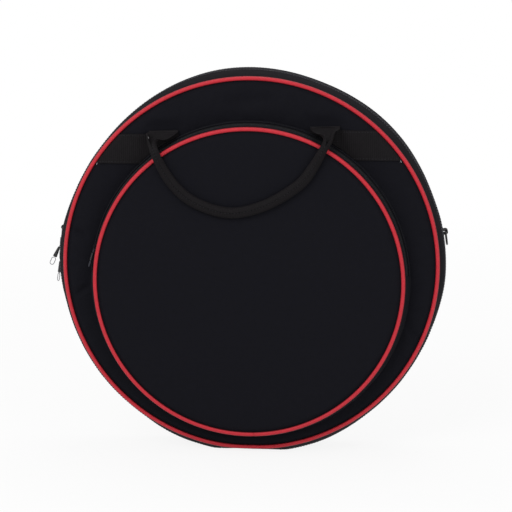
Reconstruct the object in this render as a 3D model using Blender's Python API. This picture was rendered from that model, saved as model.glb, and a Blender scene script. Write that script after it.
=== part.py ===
"""A round padded cymbal bag with a zipped front pocket, standing upright with its front towards -Y."""

from math import acos, cos, pi, radians, sin, sqrt

import bmesh
import bpy
from mathutils import Matrix, Vector

# Sizes of the whole bag, in metres
BAG_RADIUS = 0.255
GUSSET_DEPTH = 0.070
FOOT_ANGLE = radians(9)
FOOT_PRESS = 0.0020
RING_STEP = radians(6)
FIT_GAP = 0.0003

# Cloth, foam and piping
CLOTH_THICKNESS = 0.0015
LINING_THICKNESS = 0.0010
FOAM_THICKNESS = 0.0100
PIPING_RADIUS = 0.0030
FOAM_INSET = 0.0050

# Side gusset and main zip
GUSSET_BULGE = 0.0110
ZIP_OFFSET = -0.0080
ZIP_OPENING = 0.0170
TAPE_WIDTH = 0.0145
TAPE_THICKNESS = 0.0010
COIL_WIDTH = 0.0026
COIL_THICKNESS = 0.0024
COIL_SPLIT = 0.0016

# Front pocket
POCKET_MARGIN = 0.046
POCKET_DROP = 0.020
POCKET_DEPTH = 0.026
POCKET_FLARE = 0.010
POCKET_FOAM_THICKNESS = 0.0060
POCKET_ZIP_ANGLE = radians(87)
WALL_THICKNESS = 0.0012
WALL_STRIP_WIDTH = 0.0050
POCKET_TAPE_WIDTH = 0.0090
POCKET_TAPE_THICKNESS = 0.0008
POCKET_COIL_WIDTH = 0.0020
POCKET_COIL_THICKNESS = 0.0018
POCKET_COIL_SPLIT = 0.0012

# Carrying handles of webbing folded round a core
WEBBING_WIDTH = 0.040
WEBBING_THICKNESS = 0.0016
HANDLE_CENTRE = -0.007
HANDLE_HALF_SPAN = 0.109
HANDLE_DROP = 0.1105
LEFT_CREST_RISE = 0.0189
RIGHT_CREST_RISE = 0.0179
BAND_TOP_DROP = 0.0055
GRIP_WIDTH = 0.0150
GRIP_DEPTH = 0.0090
GRIP_REST_GAP = 0.0006
FUNNEL_LENGTH = 0.034
FUNNEL_SHARE_OF_FOLD = 0.97
CORE_SHARE_OF_FOLD = 0.96
CORE_RADIUS = 0.0022
CREST_STRAIGHT = 0.0020
WEBBING_POINTS = 9
ROUTE_STEPS = 2
# Across, down and forward along the hanging handle, from the left crest to the right one
ROUTE_SHARES = (
    (-1.065, 0.180, 0.93),
    (-1.120, 0.310, 1.00),
    (-0.954, 0.525, 1.00),
    (-0.817, 0.710, 1.00),
    (-0.633, 0.855, 1.00),
    (-0.343, 0.975, 1.00),
    (-0.043, 1.000, 1.00),
    (0.332, 0.887, 1.00),
    (0.720, 0.650, 1.00),
    (0.933, 0.424, 1.00),
    (1.030, 0.230, 1.00),
    (1.020, 0.130, 0.93),
)

# Zip sliders and pulls
SLIDER_LENGTH = 0.0180
SLIDER_WIDTH = 0.0125
SLIDER_PLATE = 0.0012
SLIDER_CLEARANCE = 0.0007
SLIDER_RIM = 0.0004
SLIDER_NECK = 0.0008
SLIDER_SINK_SHARE = 0.7
BRIDGE_LENGTH = 0.0110
BRIDGE_WIDTH = 0.0024
BRIDGE_THICKNESS = 0.0008
PULL_CORD_RADIUS = 0.0005
PULL_LINK_LENGTH = 0.0060
PULL_GRIP_LENGTH = 0.0160
PULL_GRIP_TOP = 0.0034
PULL_GRIP_END = 0.0062
PULL_GRIP_THICKNESS = 0.0030
PULL_LOOP_LENGTH = 0.0120
PULL_LOOP_WIDTH = 0.0056
POCKET_SLIDER_SCALE = 0.72
# Half the outline of a slider's plate, from its nose to its tail, as shares of half its length and width
PLATE_SHARES = ((1.00, 0.30), (0.90, 0.76), (0.62, 1.00), (0.15, 0.99), (-0.68, 0.76), (-1.00, 0.62))
LOWER_SLIDER_ANGLE = radians(-88.4)
SLIDER_GAP = 0.0018
POCKET_SLIDER_ANGLE = radians(-78)
UPPER_PULL_TILT = radians(20)
LOWER_PULL_TILT = radians(5.5)
UPPER_PULL_TWIST = radians(90)
LOWER_PULL_TWIST = radians(38)

# Side tabs with their D-rings
TAB_WIDTH = 0.020
TAB_OFFSET = 0.016
TAB_ANGLE = radians(80.5)
TAB_REACH = 0.0060
TAB_SLIT = 0.0004
RING_WIRE_RADIUS = 0.0015
RING_SIDE_PLAY = 0.0010
RING_HEIGHT = 0.0180
RING_TILT = radians(8)

# Places that follow from the sizes
GUSSET_HALF = GUSSET_DEPTH / 2
APEX_RADIUS = BAG_RADIUS + GUSSET_BULGE
BAG_Z = APEX_RADIUS * cos(FOOT_ANGLE) - FOOT_PRESS
POCKET_Z = BAG_Z - POCKET_DROP
POCKET_RADIUS = BAG_RADIUS - POCKET_MARGIN
GUSSET_EDGE = GUSSET_HALF - PIPING_RADIUS - FIT_GAP
ZIP_LIP = ZIP_OPENING / 2
ZIP_DEPTH = CLOTH_THICKNESS + FIT_GAP
COIL_RADIUS = APEX_RADIUS - ZIP_DEPTH - TAPE_THICKNESS / 2
UPPER_SLIDER_ANGLE = LOWER_SLIDER_ANGLE + (SLIDER_LENGTH + SLIDER_GAP) / COIL_RADIUS
PANEL_RADIUS = BAG_RADIUS - PIPING_RADIUS - FIT_GAP
FOAM_RADIUS = PANEL_RADIUS - FOAM_INSET
PANEL_FACE = GUSSET_HALF + CLOTH_THICKNESS
POCKET_PLANE = GUSSET_HALF + POCKET_DEPTH
POCKET_PANEL_RADIUS = POCKET_RADIUS - PIPING_RADIUS - FIT_GAP
POCKET_FOAM_RADIUS = POCKET_PANEL_RADIUS - FOAM_INSET
WALL_BASE = PANEL_FACE + FIT_GAP
WALL_EDGE = POCKET_PLANE - PIPING_RADIUS - FIT_GAP
WALL_BASE_RADIUS = POCKET_RADIUS + POCKET_FLARE
WALL_EDGE_RADIUS = POCKET_RADIUS + PIPING_RADIUS
POCKET_ZIP_DEPTH = WALL_THICKNESS + FIT_GAP
BAND_LAYER = PANEL_FACE + FIT_GAP + WEBBING_THICKNESS / 2
SEWN_LAYER = BAND_LAYER + WEBBING_THICKNESS + FIT_GAP
CREST_AXIS = SEWN_LAYER + WEBBING_THICKNESS / 2 + FIT_GAP / 2
HANGING_LAYER = CREST_AXIS + FIT_GAP / 2 + WEBBING_THICKNESS / 2
HINGE_Z = BAG_Z - BAG_RADIUS * cos(FOOT_ANGLE)

FRONT = -1
REAR = 1
LEFT = -1
RIGHT = 1


def clear_scene():
    """Remove every object, mesh, curve and material of the open file."""
    for item in list(bpy.data.objects):
        bpy.data.objects.remove(item, do_unlink=True)
    for group in (bpy.data.meshes, bpy.data.curves, bpy.data.materials, bpy.data.collections):
        for block in list(group):
            group.remove(block)


def make_material(name, colour, roughness, metallic=0.0):
    """A plain Principled material."""
    material = bpy.data.materials.new(name)
    material.use_nodes = True
    shader = material.node_tree.nodes["Principled BSDF"]
    shader.inputs["Base Color"].default_value = (*colour, 1.0)
    shader.inputs["Roughness"].default_value = roughness
    shader.inputs["Metallic"].default_value = metallic
    material.diffuse_color = (*colour, 1.0)
    return material


def add_object(name, data, material, parent=None):
    """Put a mesh or curve in the bag's collection with its own copy of a material."""
    item = bpy.data.objects.new(name, data)
    own_material = material.copy()
    own_material.name = name + "_" + material.name
    data.materials.append(own_material)
    bag.objects.link(item)
    item.parent = parent
    return item


def add_empty(name, matrix, parent=None):
    """An empty that carries a moving piece on its joint's axis."""
    item = bpy.data.objects.new(name, None)
    item.empty_display_size = PIPING_RADIUS
    bag.objects.link(item)
    item.parent = parent
    item.matrix_local = matrix
    return item


def loft(name, sections, material, parent=None, closed=False):
    """A closed solid through sections of equally many points, both sides of a sheet creased alike."""
    mesh_builder = bmesh.new()
    rings = [[mesh_builder.verts.new(point) for point in section] for section in sections]
    count = len(rings[0])
    pairs = list(zip(rings, rings[1:]))
    if closed:
        pairs.append((rings[-1], rings[0]))
    for one, other in pairs:
        for index in range(count):
            following = (index + 1) % count
            corners = [one[index], one[following], other[following], other[index]]
            if corners[0].co.y > corners[1].co.y:
                corners = corners[1:] + corners[:1]
            mesh_builder.faces.new(corners[:3])
            mesh_builder.faces.new((corners[0], corners[2], corners[3]))
    if not closed:
        mesh_builder.faces.new(rings[0])
        mesh_builder.faces.new(rings[-1])
    bmesh.ops.recalc_face_normals(mesh_builder, faces=mesh_builder.faces)
    mesh = bpy.data.meshes.new(name)
    mesh_builder.to_mesh(mesh)
    mesh_builder.free()
    return add_object(name, mesh, material, parent)


def flat_curve(name, outlines, thickness):
    """A flat outline, with any holes, as a 2D curve of the given thickness."""
    curve = bpy.data.curves.new(name, "CURVE")
    curve.dimensions = "2D"
    curve.fill_mode = "BOTH"
    curve.extrude = thickness / 2
    for outline in outlines:
        spline = curve.splines.new("POLY")
        spline.points.add(len(outline) - 1)
        for place, (across, up) in zip(spline.points, outline):
            place.co = (across, up, 0.0, 1.0)
        spline.use_cyclic_u = True
    return curve


def standing_sheet(name, outline, depth, thickness, material):
    """A flat sheet that stands upright in the XZ plane at the given depth."""
    item = add_object(name, flat_curve(name, [outline], thickness), material)
    item.rotation_euler = (pi / 2, 0.0, 0.0)
    item.location = (0.0, depth, 0.0)
    return item


def round_wire(name, points, radius, material, parent=None, closed=False):
    """A round cord or wire along a list of points."""
    curve = bpy.data.curves.new(name, "CURVE")
    curve.dimensions = "3D"
    curve.bevel_depth = radius
    curve.bevel_resolution = 2
    curve.use_fill_caps = not closed
    spline = curve.splines.new("POLY")
    spline.points.add(len(points) - 1)
    for place, point in zip(spline.points, points):
        place.co = (*point, 1.0)
    spline.use_cyclic_u = closed
    item = add_object(name, curve, material, parent)
    return item


def arc_angles(limit):
    """Angles from the left end of an arc to its right end, counted from the top."""
    steps = round(2 * limit / RING_STEP)
    return [limit * (2 * index / steps - 1) for index in range(steps + 1)]


def ring_point(angle, radius, depth, centre_z):
    """A point at an angle from the top, clockwise as seen from the front."""
    return Vector((radius * sin(angle), depth, centre_z + radius * cos(angle)))


def bag_outline(radius):
    """The bag's round outline, straight across its foot."""
    return [(radius * sin(angle), BAG_Z + radius * cos(angle)) for angle in arc_angles(pi - FOOT_ANGLE)]


def pocket_outline(radius):
    """The pocket's round outline."""
    count = round(2 * pi / RING_STEP)
    angles = [RING_STEP * (index + 0.5) for index in range(count)]
    return [(radius * sin(angle), POCKET_Z + radius * cos(angle)) for angle in angles]


def gusset_round(depth):
    """Radius of the side gusset: level under the zip, then rounding off to meet both pipings."""
    reach = abs(depth - ZIP_OFFSET) - ZIP_LIP
    if reach <= 0:
        return APEX_RADIUS
    side = REAR if depth > ZIP_OFFSET else FRONT
    full = GUSSET_EDGE - side * ZIP_OFFSET - ZIP_LIP
    edge_radius = BAG_RADIUS + CLOTH_THICKNESS / 2
    return APEX_RADIUS - (APEX_RADIUS - edge_radius) * (reach / full) ** 2


def gusset_knots():
    """Depths at which the gusset's pieces share their corners."""
    rear_tape = ZIP_OFFSET + TAPE_WIDTH
    rear_middle = (rear_tape + GUSSET_EDGE) / 2
    return (-GUSSET_EDGE, ZIP_OFFSET - TAPE_WIDTH, ZIP_OFFSET - ZIP_LIP, ZIP_OFFSET + ZIP_LIP,
            rear_tape, rear_middle, GUSSET_EDGE)


def gusset_surface(depth):
    """Outer radius of the side gusset, straight from one shared corner to the next."""
    knots = gusset_knots()
    for low, high in zip(knots, knots[1:]):
        if depth <= high:
            break
    share = (depth - low) / (high - low)
    return gusset_round(low) + share * (gusset_round(high) - gusset_round(low))


def wall_surface(depth):
    """Outer radius of the pocket's wall at a depth in front of the bag's middle."""
    share = (-depth - WALL_BASE) / (WALL_EDGE - WALL_BASE)
    return WALL_BASE_RADIUS + share * (WALL_EDGE_RADIUS - WALL_BASE_RADIUS)


def sheet_profile(surface, knots, start, end, below, thickness):
    """Depth and radius round a sheet that follows a surface, with its corners on the shared knots."""
    low, high = sorted((start, end))
    depths = [low] + [knot for knot in knots if low < knot < high] + [high]
    outer = [(depth, surface(depth) - below) for depth in depths]
    inner = [(depth, surface(depth) - below - thickness) for depth in reversed(depths)]
    return outer + inner


def bag_section(angle, profile):
    """A profile of the gusset at an angle, pressed level where it would pass through the ground."""
    points = []
    for depth, radius in profile:
        point = ring_point(angle, radius, depth, BAG_Z)
        point.z = max(point.z, gusset_surface(depth) - radius)
        points.append(point)
    return points


def gusset_strip(name, start, end, below, thickness, material):
    """A strip of cloth or tape round the side of the bag, open across its foot."""
    profile = sheet_profile(gusset_surface, gusset_knots(), start, end, below, thickness)
    sections = [bag_section(angle, profile) for angle in arc_angles(pi - FOOT_ANGLE)]
    return loft(name, sections, material)


def wall_strip(name, angles, start, end, below, thickness, material):
    """A strip of the pocket's wall over a range of angles."""
    profile = sheet_profile(wall_surface, (), start, end, below, thickness)
    sections = [[ring_point(angle, radius, depth, POCKET_Z) for depth, radius in profile] for angle in angles]
    return loft(name, sections, material)


def make_face(side, prefix):
    """One padded face of the bag: cloth, foam, lining and piping."""
    cloth_depth = GUSSET_HALF + CLOTH_THICKNESS / 2
    foam_depth = GUSSET_HALF - FIT_GAP - FOAM_THICKNESS / 2
    lining_depth = foam_depth - FOAM_THICKNESS / 2 - FIT_GAP - LINING_THICKNESS / 2
    standing_sheet(prefix + "_panel", bag_outline(PANEL_RADIUS), side * cloth_depth, CLOTH_THICKNESS, cloth)
    standing_sheet(prefix + "_foam", bag_outline(FOAM_RADIUS), side * foam_depth, FOAM_THICKNESS, foam)
    standing_sheet(prefix + "_lining", bag_outline(FOAM_RADIUS), side * lining_depth, LINING_THICKNESS, lining)
    ring = [(across, side * GUSSET_HALF, up) for across, up in bag_outline(BAG_RADIUS)]
    round_wire(prefix + "_piping", ring, PIPING_RADIUS, piping, closed=True)


def make_gusset():
    """The side of the bag: two strips, the zip between them, and the plain piece under the bag."""
    coil_inner = COIL_SPLIT / 2
    coil_outer = coil_inner + COIL_WIDTH
    tape_inner = coil_outer + FIT_GAP
    coil_below = APEX_RADIUS - COIL_RADIUS - COIL_THICKNESS / 2
    for side, prefix in ((FRONT, "front"), (REAR, "rear")):
        gusset_strip(prefix + "_gusset_strip", side * GUSSET_EDGE, ZIP_OFFSET + side * ZIP_LIP, 0.0,
                     CLOTH_THICKNESS, cloth)
        gusset_strip(prefix + "_zip_tape", ZIP_OFFSET + side * tape_inner, ZIP_OFFSET + side * TAPE_WIDTH,
                     ZIP_DEPTH, TAPE_THICKNESS, tape)
        gusset_strip(prefix + "_zip_coil", ZIP_OFFSET + side * coil_inner, ZIP_OFFSET + side * coil_outer,
                     coil_below, COIL_THICKNESS, coil)
    profile = sheet_profile(gusset_surface, gusset_knots(), -GUSSET_EDGE, GUSSET_EDGE, 0.0, CLOTH_THICKNESS)
    ends = []
    for side in (LEFT, RIGHT):
        section = bag_section(side * (pi - FOOT_ANGLE), profile)
        ends.append([point - Vector((side * FIT_GAP, 0.0, 0.0)) for point in section])
    loft("bottom_gusset", ends, cloth)


def make_pocket():
    """The front pocket: wall, zip, and its padded panel with piping."""
    zip_middle = -(WALL_BASE + WALL_EDGE) / 2
    coil_inner = POCKET_COIL_SPLIT / 2
    coil_outer = coil_inner + POCKET_COIL_WIDTH
    tape_inner = coil_outer + FIT_GAP
    coil_below = POCKET_ZIP_DEPTH + (POCKET_TAPE_THICKNESS - POCKET_COIL_THICKNESS) / 2
    zip_angles = arc_angles(POCKET_ZIP_ANGLE)
    for side, prefix, edge in ((FRONT, "pocket_front", -WALL_EDGE), (REAR, "pocket_rear", -WALL_BASE)):
        wall_strip(prefix + "_strip", zip_angles, edge, edge - side * WALL_STRIP_WIDTH, 0.0,
                   WALL_THICKNESS, cloth)
        wall_strip(prefix + "_zip_tape", zip_angles, zip_middle + side * tape_inner,
                   zip_middle + side * POCKET_TAPE_WIDTH, POCKET_ZIP_DEPTH, POCKET_TAPE_THICKNESS, tape)
        wall_strip(prefix + "_zip_coil", zip_angles, zip_middle + side * coil_inner,
                   zip_middle + side * coil_outer, coil_below, POCKET_COIL_THICKNESS, coil)
    seam = FIT_GAP / WALL_EDGE_RADIUS
    plain = [angle + pi for angle in arc_angles(pi - POCKET_ZIP_ANGLE)]
    plain[0] += seam
    plain[-1] -= seam
    wall_strip("pocket_lower_wall", plain, -WALL_BASE, -WALL_EDGE, 0.0, WALL_THICKNESS, cloth)
    cloth_depth = POCKET_PLANE + CLOTH_THICKNESS / 2
    foam_depth = POCKET_PLANE - FIT_GAP - POCKET_FOAM_THICKNESS / 2
    lining_depth = foam_depth - POCKET_FOAM_THICKNESS / 2 - FIT_GAP - LINING_THICKNESS / 2
    standing_sheet("pocket_panel", pocket_outline(POCKET_PANEL_RADIUS), -cloth_depth, CLOTH_THICKNESS, cloth)
    standing_sheet("pocket_foam", pocket_outline(POCKET_FOAM_RADIUS), -foam_depth, POCKET_FOAM_THICKNESS, foam)
    standing_sheet("pocket_lining", pocket_outline(POCKET_FOAM_RADIUS), -lining_depth, LINING_THICKNESS, lining)
    ring = [(across, -POCKET_PLANE, up) for across, up in pocket_outline(POCKET_RADIUS)]
    round_wire("pocket_piping", ring, PIPING_RADIUS, piping, closed=True)


def circle_height(radius, centre_z, across):
    """Height of a circle's upper half above a place across the bag."""
    return centre_z + sqrt(radius ** 2 - across ** 2)


def circle_reach(radius, height):
    """How far the pocket's circle reaches across the bag at a height, or nought above it."""
    return sqrt(max(radius ** 2 - (height - POCKET_Z) ** 2, 0.0))


def crest_centre(side):
    """Middle of the handle's width at its crest, across the bag."""
    return HANDLE_CENTRE + side * HANDLE_HALF_SPAN


def crest_height(side):
    """Height of a handle's crest at its middle, which stands clear of the pocket's wall."""
    rise = LEFT_CREST_RISE if side == LEFT else RIGHT_CREST_RISE
    return circle_height(WALL_BASE_RADIUS + FIT_GAP, POCKET_Z, crest_centre(side)) + rise


def crest_slope():
    """Rise per length, to the right, of the line through both crests, about which a handle swings."""
    return (crest_height(RIGHT) - crest_height(LEFT)) / (crest_centre(RIGHT) - crest_centre(LEFT))


def band_outline(side):
    """The webbing band from the outer seam to the handle, its inner corner caught in the pocket's seam."""
    top = crest_height(side) - BAND_TOP_DROP
    low = top - WEBBING_WIDTH
    outer_radius = PANEL_RADIUS - FIT_GAP
    inner_radius = WALL_BASE_RADIUS + FIT_GAP
    inner_end = max(abs(crest_centre(side)) - WEBBING_WIDTH / 2, circle_reach(inner_radius, top))
    pocket_low = max(inner_end, circle_reach(inner_radius, low))
    steps = 4
    points = [(inner_end, top)]
    for index in range(steps + 1):
        height = top - (top - low) * index / steps
        points.append((sqrt(outer_radius ** 2 - (height - BAG_Z) ** 2), height))
    for index in range(steps + 1):
        across = pocket_low + (inner_end - pocket_low) * index / steps
        points.append((across, max(low, circle_height(inner_radius, POCKET_Z, across))))
    kept = [point for index, point in enumerate(points)
            if (Vector(point) - Vector(points[index - 1])).length > FIT_GAP]
    return [(side * across, height) for across, height in kept]


def sewn_end_outline(side):
    """The handle's sewn end, which rises from the band to the crest."""
    inner_radius = WALL_BASE_RADIUS + FIT_GAP
    middle = abs(crest_centre(side))
    top = crest_height(side) - FIT_GAP
    fall = side * crest_slope() * WEBBING_WIDTH / 2
    steps = 4
    points = [(middle + WEBBING_WIDTH / 2, top + fall), (middle - WEBBING_WIDTH / 2, top - fall)]
    for index in range(steps + 1):
        across = middle + WEBBING_WIDTH * (index / steps - 0.5)
        points.append((across, circle_height(inner_radius, POCKET_Z, across)))
    return [(side * across, height) for across, height in points]


def smooth_route(points, steps):
    """Points along a smooth curve through the given ones."""
    padded = [2 * points[0] - points[1]] + points + [2 * points[-1] - points[-2]]
    route = []
    for before, start, end, after in zip(padded, padded[1:], padded[2:], padded[3:]):
        for index in range(steps):
            t = index / steps
            bend = (2 * before - 5 * start + 4 * end - after) * t ** 2
            twist = (3 * start - before - 3 * end + after) * t ** 3
            route.append((2 * start + (end - before) * t + bend + twist) / 2)
    route.append(points[-1])
    return route


def handle_route(side, rest_depth):
    """The fold line of a hanging handle, relative to the middle between its crests."""
    crest_middle = (crest_height(LEFT) + crest_height(RIGHT)) / 2
    points = []
    for across, down, forward in ROUTE_SHARES:
        depth = HANGING_LAYER + (rest_depth - HANGING_LAYER) * forward
        points.append(Vector((HANDLE_CENTRE + across * HANDLE_HALF_SPAN, side * depth,
                              crest_middle - down * HANDLE_DROP)))
    crests = [Vector((crest_centre(end), side * HANGING_LAYER, crest_height(end) - FIT_GAP))
              for end in (LEFT, RIGHT)]
    drops = [crest - Vector((0.0, 0.0, CREST_STRAIGHT)) for crest in crests]
    return crests[:1] + smooth_route(drops[:1] + points + drops[1:], ROUTE_STEPS) + crests[1:]


def fold_section(centre, across, forward, folded):
    """Webbing across its width: flat at a crest, curled into a tube with its selvedges together."""
    turn = max(folded, 0.01) * 2 * pi * FUNNEL_SHARE_OF_FOLD
    bend = WEBBING_WIDTH / turn
    tube = WEBBING_WIDTH / (pi * FUNNEL_SHARE_OF_FOLD)
    widen = 1 + ((GRIP_WIDTH - WEBBING_THICKNESS) / tube - 1) * folded
    flatten = 1 + ((GRIP_DEPTH - WEBBING_THICKNESS) / tube - 1) * folded
    outer = []
    inner = []
    for index in range(WEBBING_POINTS):
        angle = turn * (index / (WEBBING_POINTS - 1) - 0.5)
        middle = Vector((bend * sin(angle) * widen, bend * (1 - cos(angle)) * flatten))
        normal = Vector((-sin(angle) * flatten, cos(angle) * widen)).normalized() * WEBBING_THICKNESS / 2
        for offset, points in ((middle - normal, outer), (middle + normal, inner)):
            points.append(centre + across * offset.x + forward * offset.y)
    return outer + inner[::-1]


def make_handle(side, prefix, rest_depth):
    """A carrying handle: bands and sewn ends on the face, and the hanging webbing with its core."""
    for end, end_name in ((LEFT, "left"), (RIGHT, "right")):
        standing_sheet(f"{prefix}_{end_name}_band", band_outline(end), side * BAND_LAYER,
                       WEBBING_THICKNESS, webbing)
        standing_sheet(f"{prefix}_handle_{end_name}_end", sewn_end_outline(end), side * SEWN_LAYER,
                       WEBBING_THICKNESS, webbing)
    crest_middle = (crest_height(LEFT) + crest_height(RIGHT)) / 2
    axis_place = Vector((HANDLE_CENTRE, side * CREST_AXIS, crest_middle))
    pivot = add_empty(prefix + "_handle_pivot", Matrix.Translation(axis_place))
    route = [point - axis_place for point in handle_route(side, rest_depth)]
    travelled = [0.0]
    for one, other in zip(route, route[1:]):
        travelled.append(travelled[-1] + (other - one).length)
    outward = Vector((0.0, side, 0.0))
    crest_up = Vector((-crest_slope(), 0.0, 1.0)).normalized()
    sections = []
    core_points = []
    for index, point in enumerate(route):
        from_end = min(travelled[index], travelled[-1] - travelled[index])
        share = min(from_end / FUNNEL_LENGTH, 1.0)
        folded = share * share * (3 - 2 * share)
        straight = -crest_up if index < len(route) / 2 else crest_up
        ahead = (route[min(index + 1, len(route) - 1)] - route[max(index - 1, 0)]).normalized()
        across = straight.cross(outward).lerp(ahead.cross(outward), folded).normalized()
        forward = across.cross(straight.lerp(ahead, folded)).normalized()
        if forward.dot(outward) < 0:
            forward = -forward
        section = fold_section(point, across, forward, folded)
        sections.append(section)
        if folded > CORE_SHARE_OF_FOLD:
            core_points.append(sum(section, Vector()) / len(section))
    loft(prefix + "_handle_webbing", sections, webbing, pivot)
    round_wire(prefix + "_handle_core", core_points, CORE_RADIUS, core, pivot)


def union_mesh(name, items):
    """Join several objects into one closed mesh and remove them."""
    base = items[0]
    for index, other in enumerate(items[1:]):
        joint = base.modifiers.new(f"join_{index}", "BOOLEAN")
        joint.operation = "UNION"
        joint.solver = "EXACT"
        joint.object = other
    bpy.context.view_layer.update()
    evaluated = base.evaluated_get(bpy.context.evaluated_depsgraph_get())
    mesh = bpy.data.meshes.new_from_object(evaluated)
    mesh.name = name
    mesh.materials.clear()
    for item in items:
        bpy.data.objects.remove(item, do_unlink=True)
    return mesh


def solid_from_curve(name, curve, matrix):
    """A welded mesh object of a curve, ready to be joined."""
    item = bpy.data.objects.new(name, curve)
    cutters.objects.link(item)
    item.hide_render = True
    item.display_type = "WIRE"
    bpy.context.view_layer.update()
    mesh = bpy.data.meshes.new_from_object(item.evaluated_get(bpy.context.evaluated_depsgraph_get()))
    bpy.data.objects.remove(item, do_unlink=True)
    mesh_builder = bmesh.new()
    mesh_builder.from_mesh(mesh)
    bmesh.ops.transform(mesh_builder, matrix=matrix, verts=mesh_builder.verts)
    bmesh.ops.remove_doubles(mesh_builder, verts=mesh_builder.verts, dist=PULL_CORD_RADIUS / 100)
    bmesh.ops.recalc_face_normals(mesh_builder, faces=mesh_builder.faces)
    mesh_builder.to_mesh(mesh)
    mesh_builder.free()
    solid = bpy.data.objects.new(name, mesh)
    cutters.objects.link(solid)
    solid.hide_render = True
    solid.display_type = "WIRE"
    return solid


def box_solid(name, size, centre):
    """A box to be joined to a slider."""
    mesh_builder = bmesh.new()
    place = Matrix.Translation(centre) @ Matrix.Diagonal((*size, 1.0))
    bmesh.ops.create_cube(mesh_builder, size=1.0, matrix=place)
    mesh = bpy.data.meshes.new(name)
    mesh_builder.to_mesh(mesh)
    mesh_builder.free()
    solid = bpy.data.objects.new(name, mesh)
    cutters.objects.link(solid)
    solid.hide_render = True
    solid.display_type = "WIRE"
    return solid


def slider_mesh(name, coil_thickness, scale, nose):
    """A zip slider: two plates with rims, the neck that joins them at the nose, and the bridge on top."""
    half_length = SLIDER_LENGTH * scale / 2
    half_width = SLIDER_WIDTH * scale / 2
    plate = SLIDER_PLATE * scale
    opening = coil_thickness / 2 + SLIDER_CLEARANCE
    edge = [(nose * along * half_length, across * half_width) for along, across in PLATE_SHARES]
    outline = edge + [(along, -across) for along, across in reversed(edge)]
    rim_edge = edge[2:5]
    solids = []
    for level, label in ((1, "top"), (-1, "under")):
        middle = level * (opening + plate / 2)
        raised = Matrix.Translation((0.0, 0.0, middle))
        solids.append(solid_from_curve(f"{name}_{label}", flat_curve(name, [outline], plate), raised))
        rim_middle = level * (opening - SLIDER_RIM / 2)
        rims = [rim_edge, [(along, -across) for along, across in rim_edge]]
        for index, rim in enumerate(rims):
            inset = [(along, across * (1 - plate / half_width)) for along, across in reversed(rim)]
            lowered = Matrix.Translation((0.0, 0.0, rim_middle + level * SLIDER_RIM / 4))
            strip = flat_curve(name, [rim + inset], SLIDER_RIM * 1.5)
            solids.append(solid_from_curve(f"{name}_{label}_rim_{index}", strip, lowered))
    neck_length = half_length / 2
    neck_centre = (nose * (half_length - neck_length), 0.0, 0.0)
    neck_size = (neck_length, SLIDER_NECK * scale, 2 * opening + plate)
    solids.append(box_solid(name + "_neck", neck_size, neck_centre))
    solids.append(solid_from_curve(name + "_bridge", bridge_curve(name, scale), bridge_place(opening, plate)))
    return union_mesh(name, solids)


def bridge_curve(name, scale):
    """The arch on a slider that holds its pull, drawn from the side."""
    half = BRIDGE_LENGTH * scale / 2
    inner_height = 2 * PULL_CORD_RADIUS + 2 * FIT_GAP
    thickness = BRIDGE_THICKNESS
    foot = half - thickness
    outer = []
    inner = []
    steps = 6
    for index in range(steps + 1):
        angle = pi * index / steps
        rise = min(sin(angle) * 2, 1.0)
        outer.append((half * cos(angle), (inner_height + thickness) * rise))
        inner.append((foot * cos(angle), inner_height * rise))
    outer[0] = (half, -thickness / 2)
    outer[-1] = (-half, -thickness / 2)
    inner[0] = (foot, -thickness / 2)
    inner[-1] = (-foot, -thickness / 2)
    return flat_curve(name, [outer + inner[::-1]], BRIDGE_WIDTH)


def bridge_place(opening, plate):
    """Stands the bridge's side view up along the slider's top."""
    stand = Matrix.Rotation(pi / 2, 4, "X")
    return Matrix.Translation((0.0, 0.0, opening + plate)) @ stand


def make_slider(name, frame, coil_thickness, scale, nose):
    """A slider on its zip, in the frame of the zip at that place."""
    carrier = add_empty(name + "_carrier", frame)
    return add_object(name, slider_mesh(name, coil_thickness, scale, nose), metal, carrier)


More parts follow.
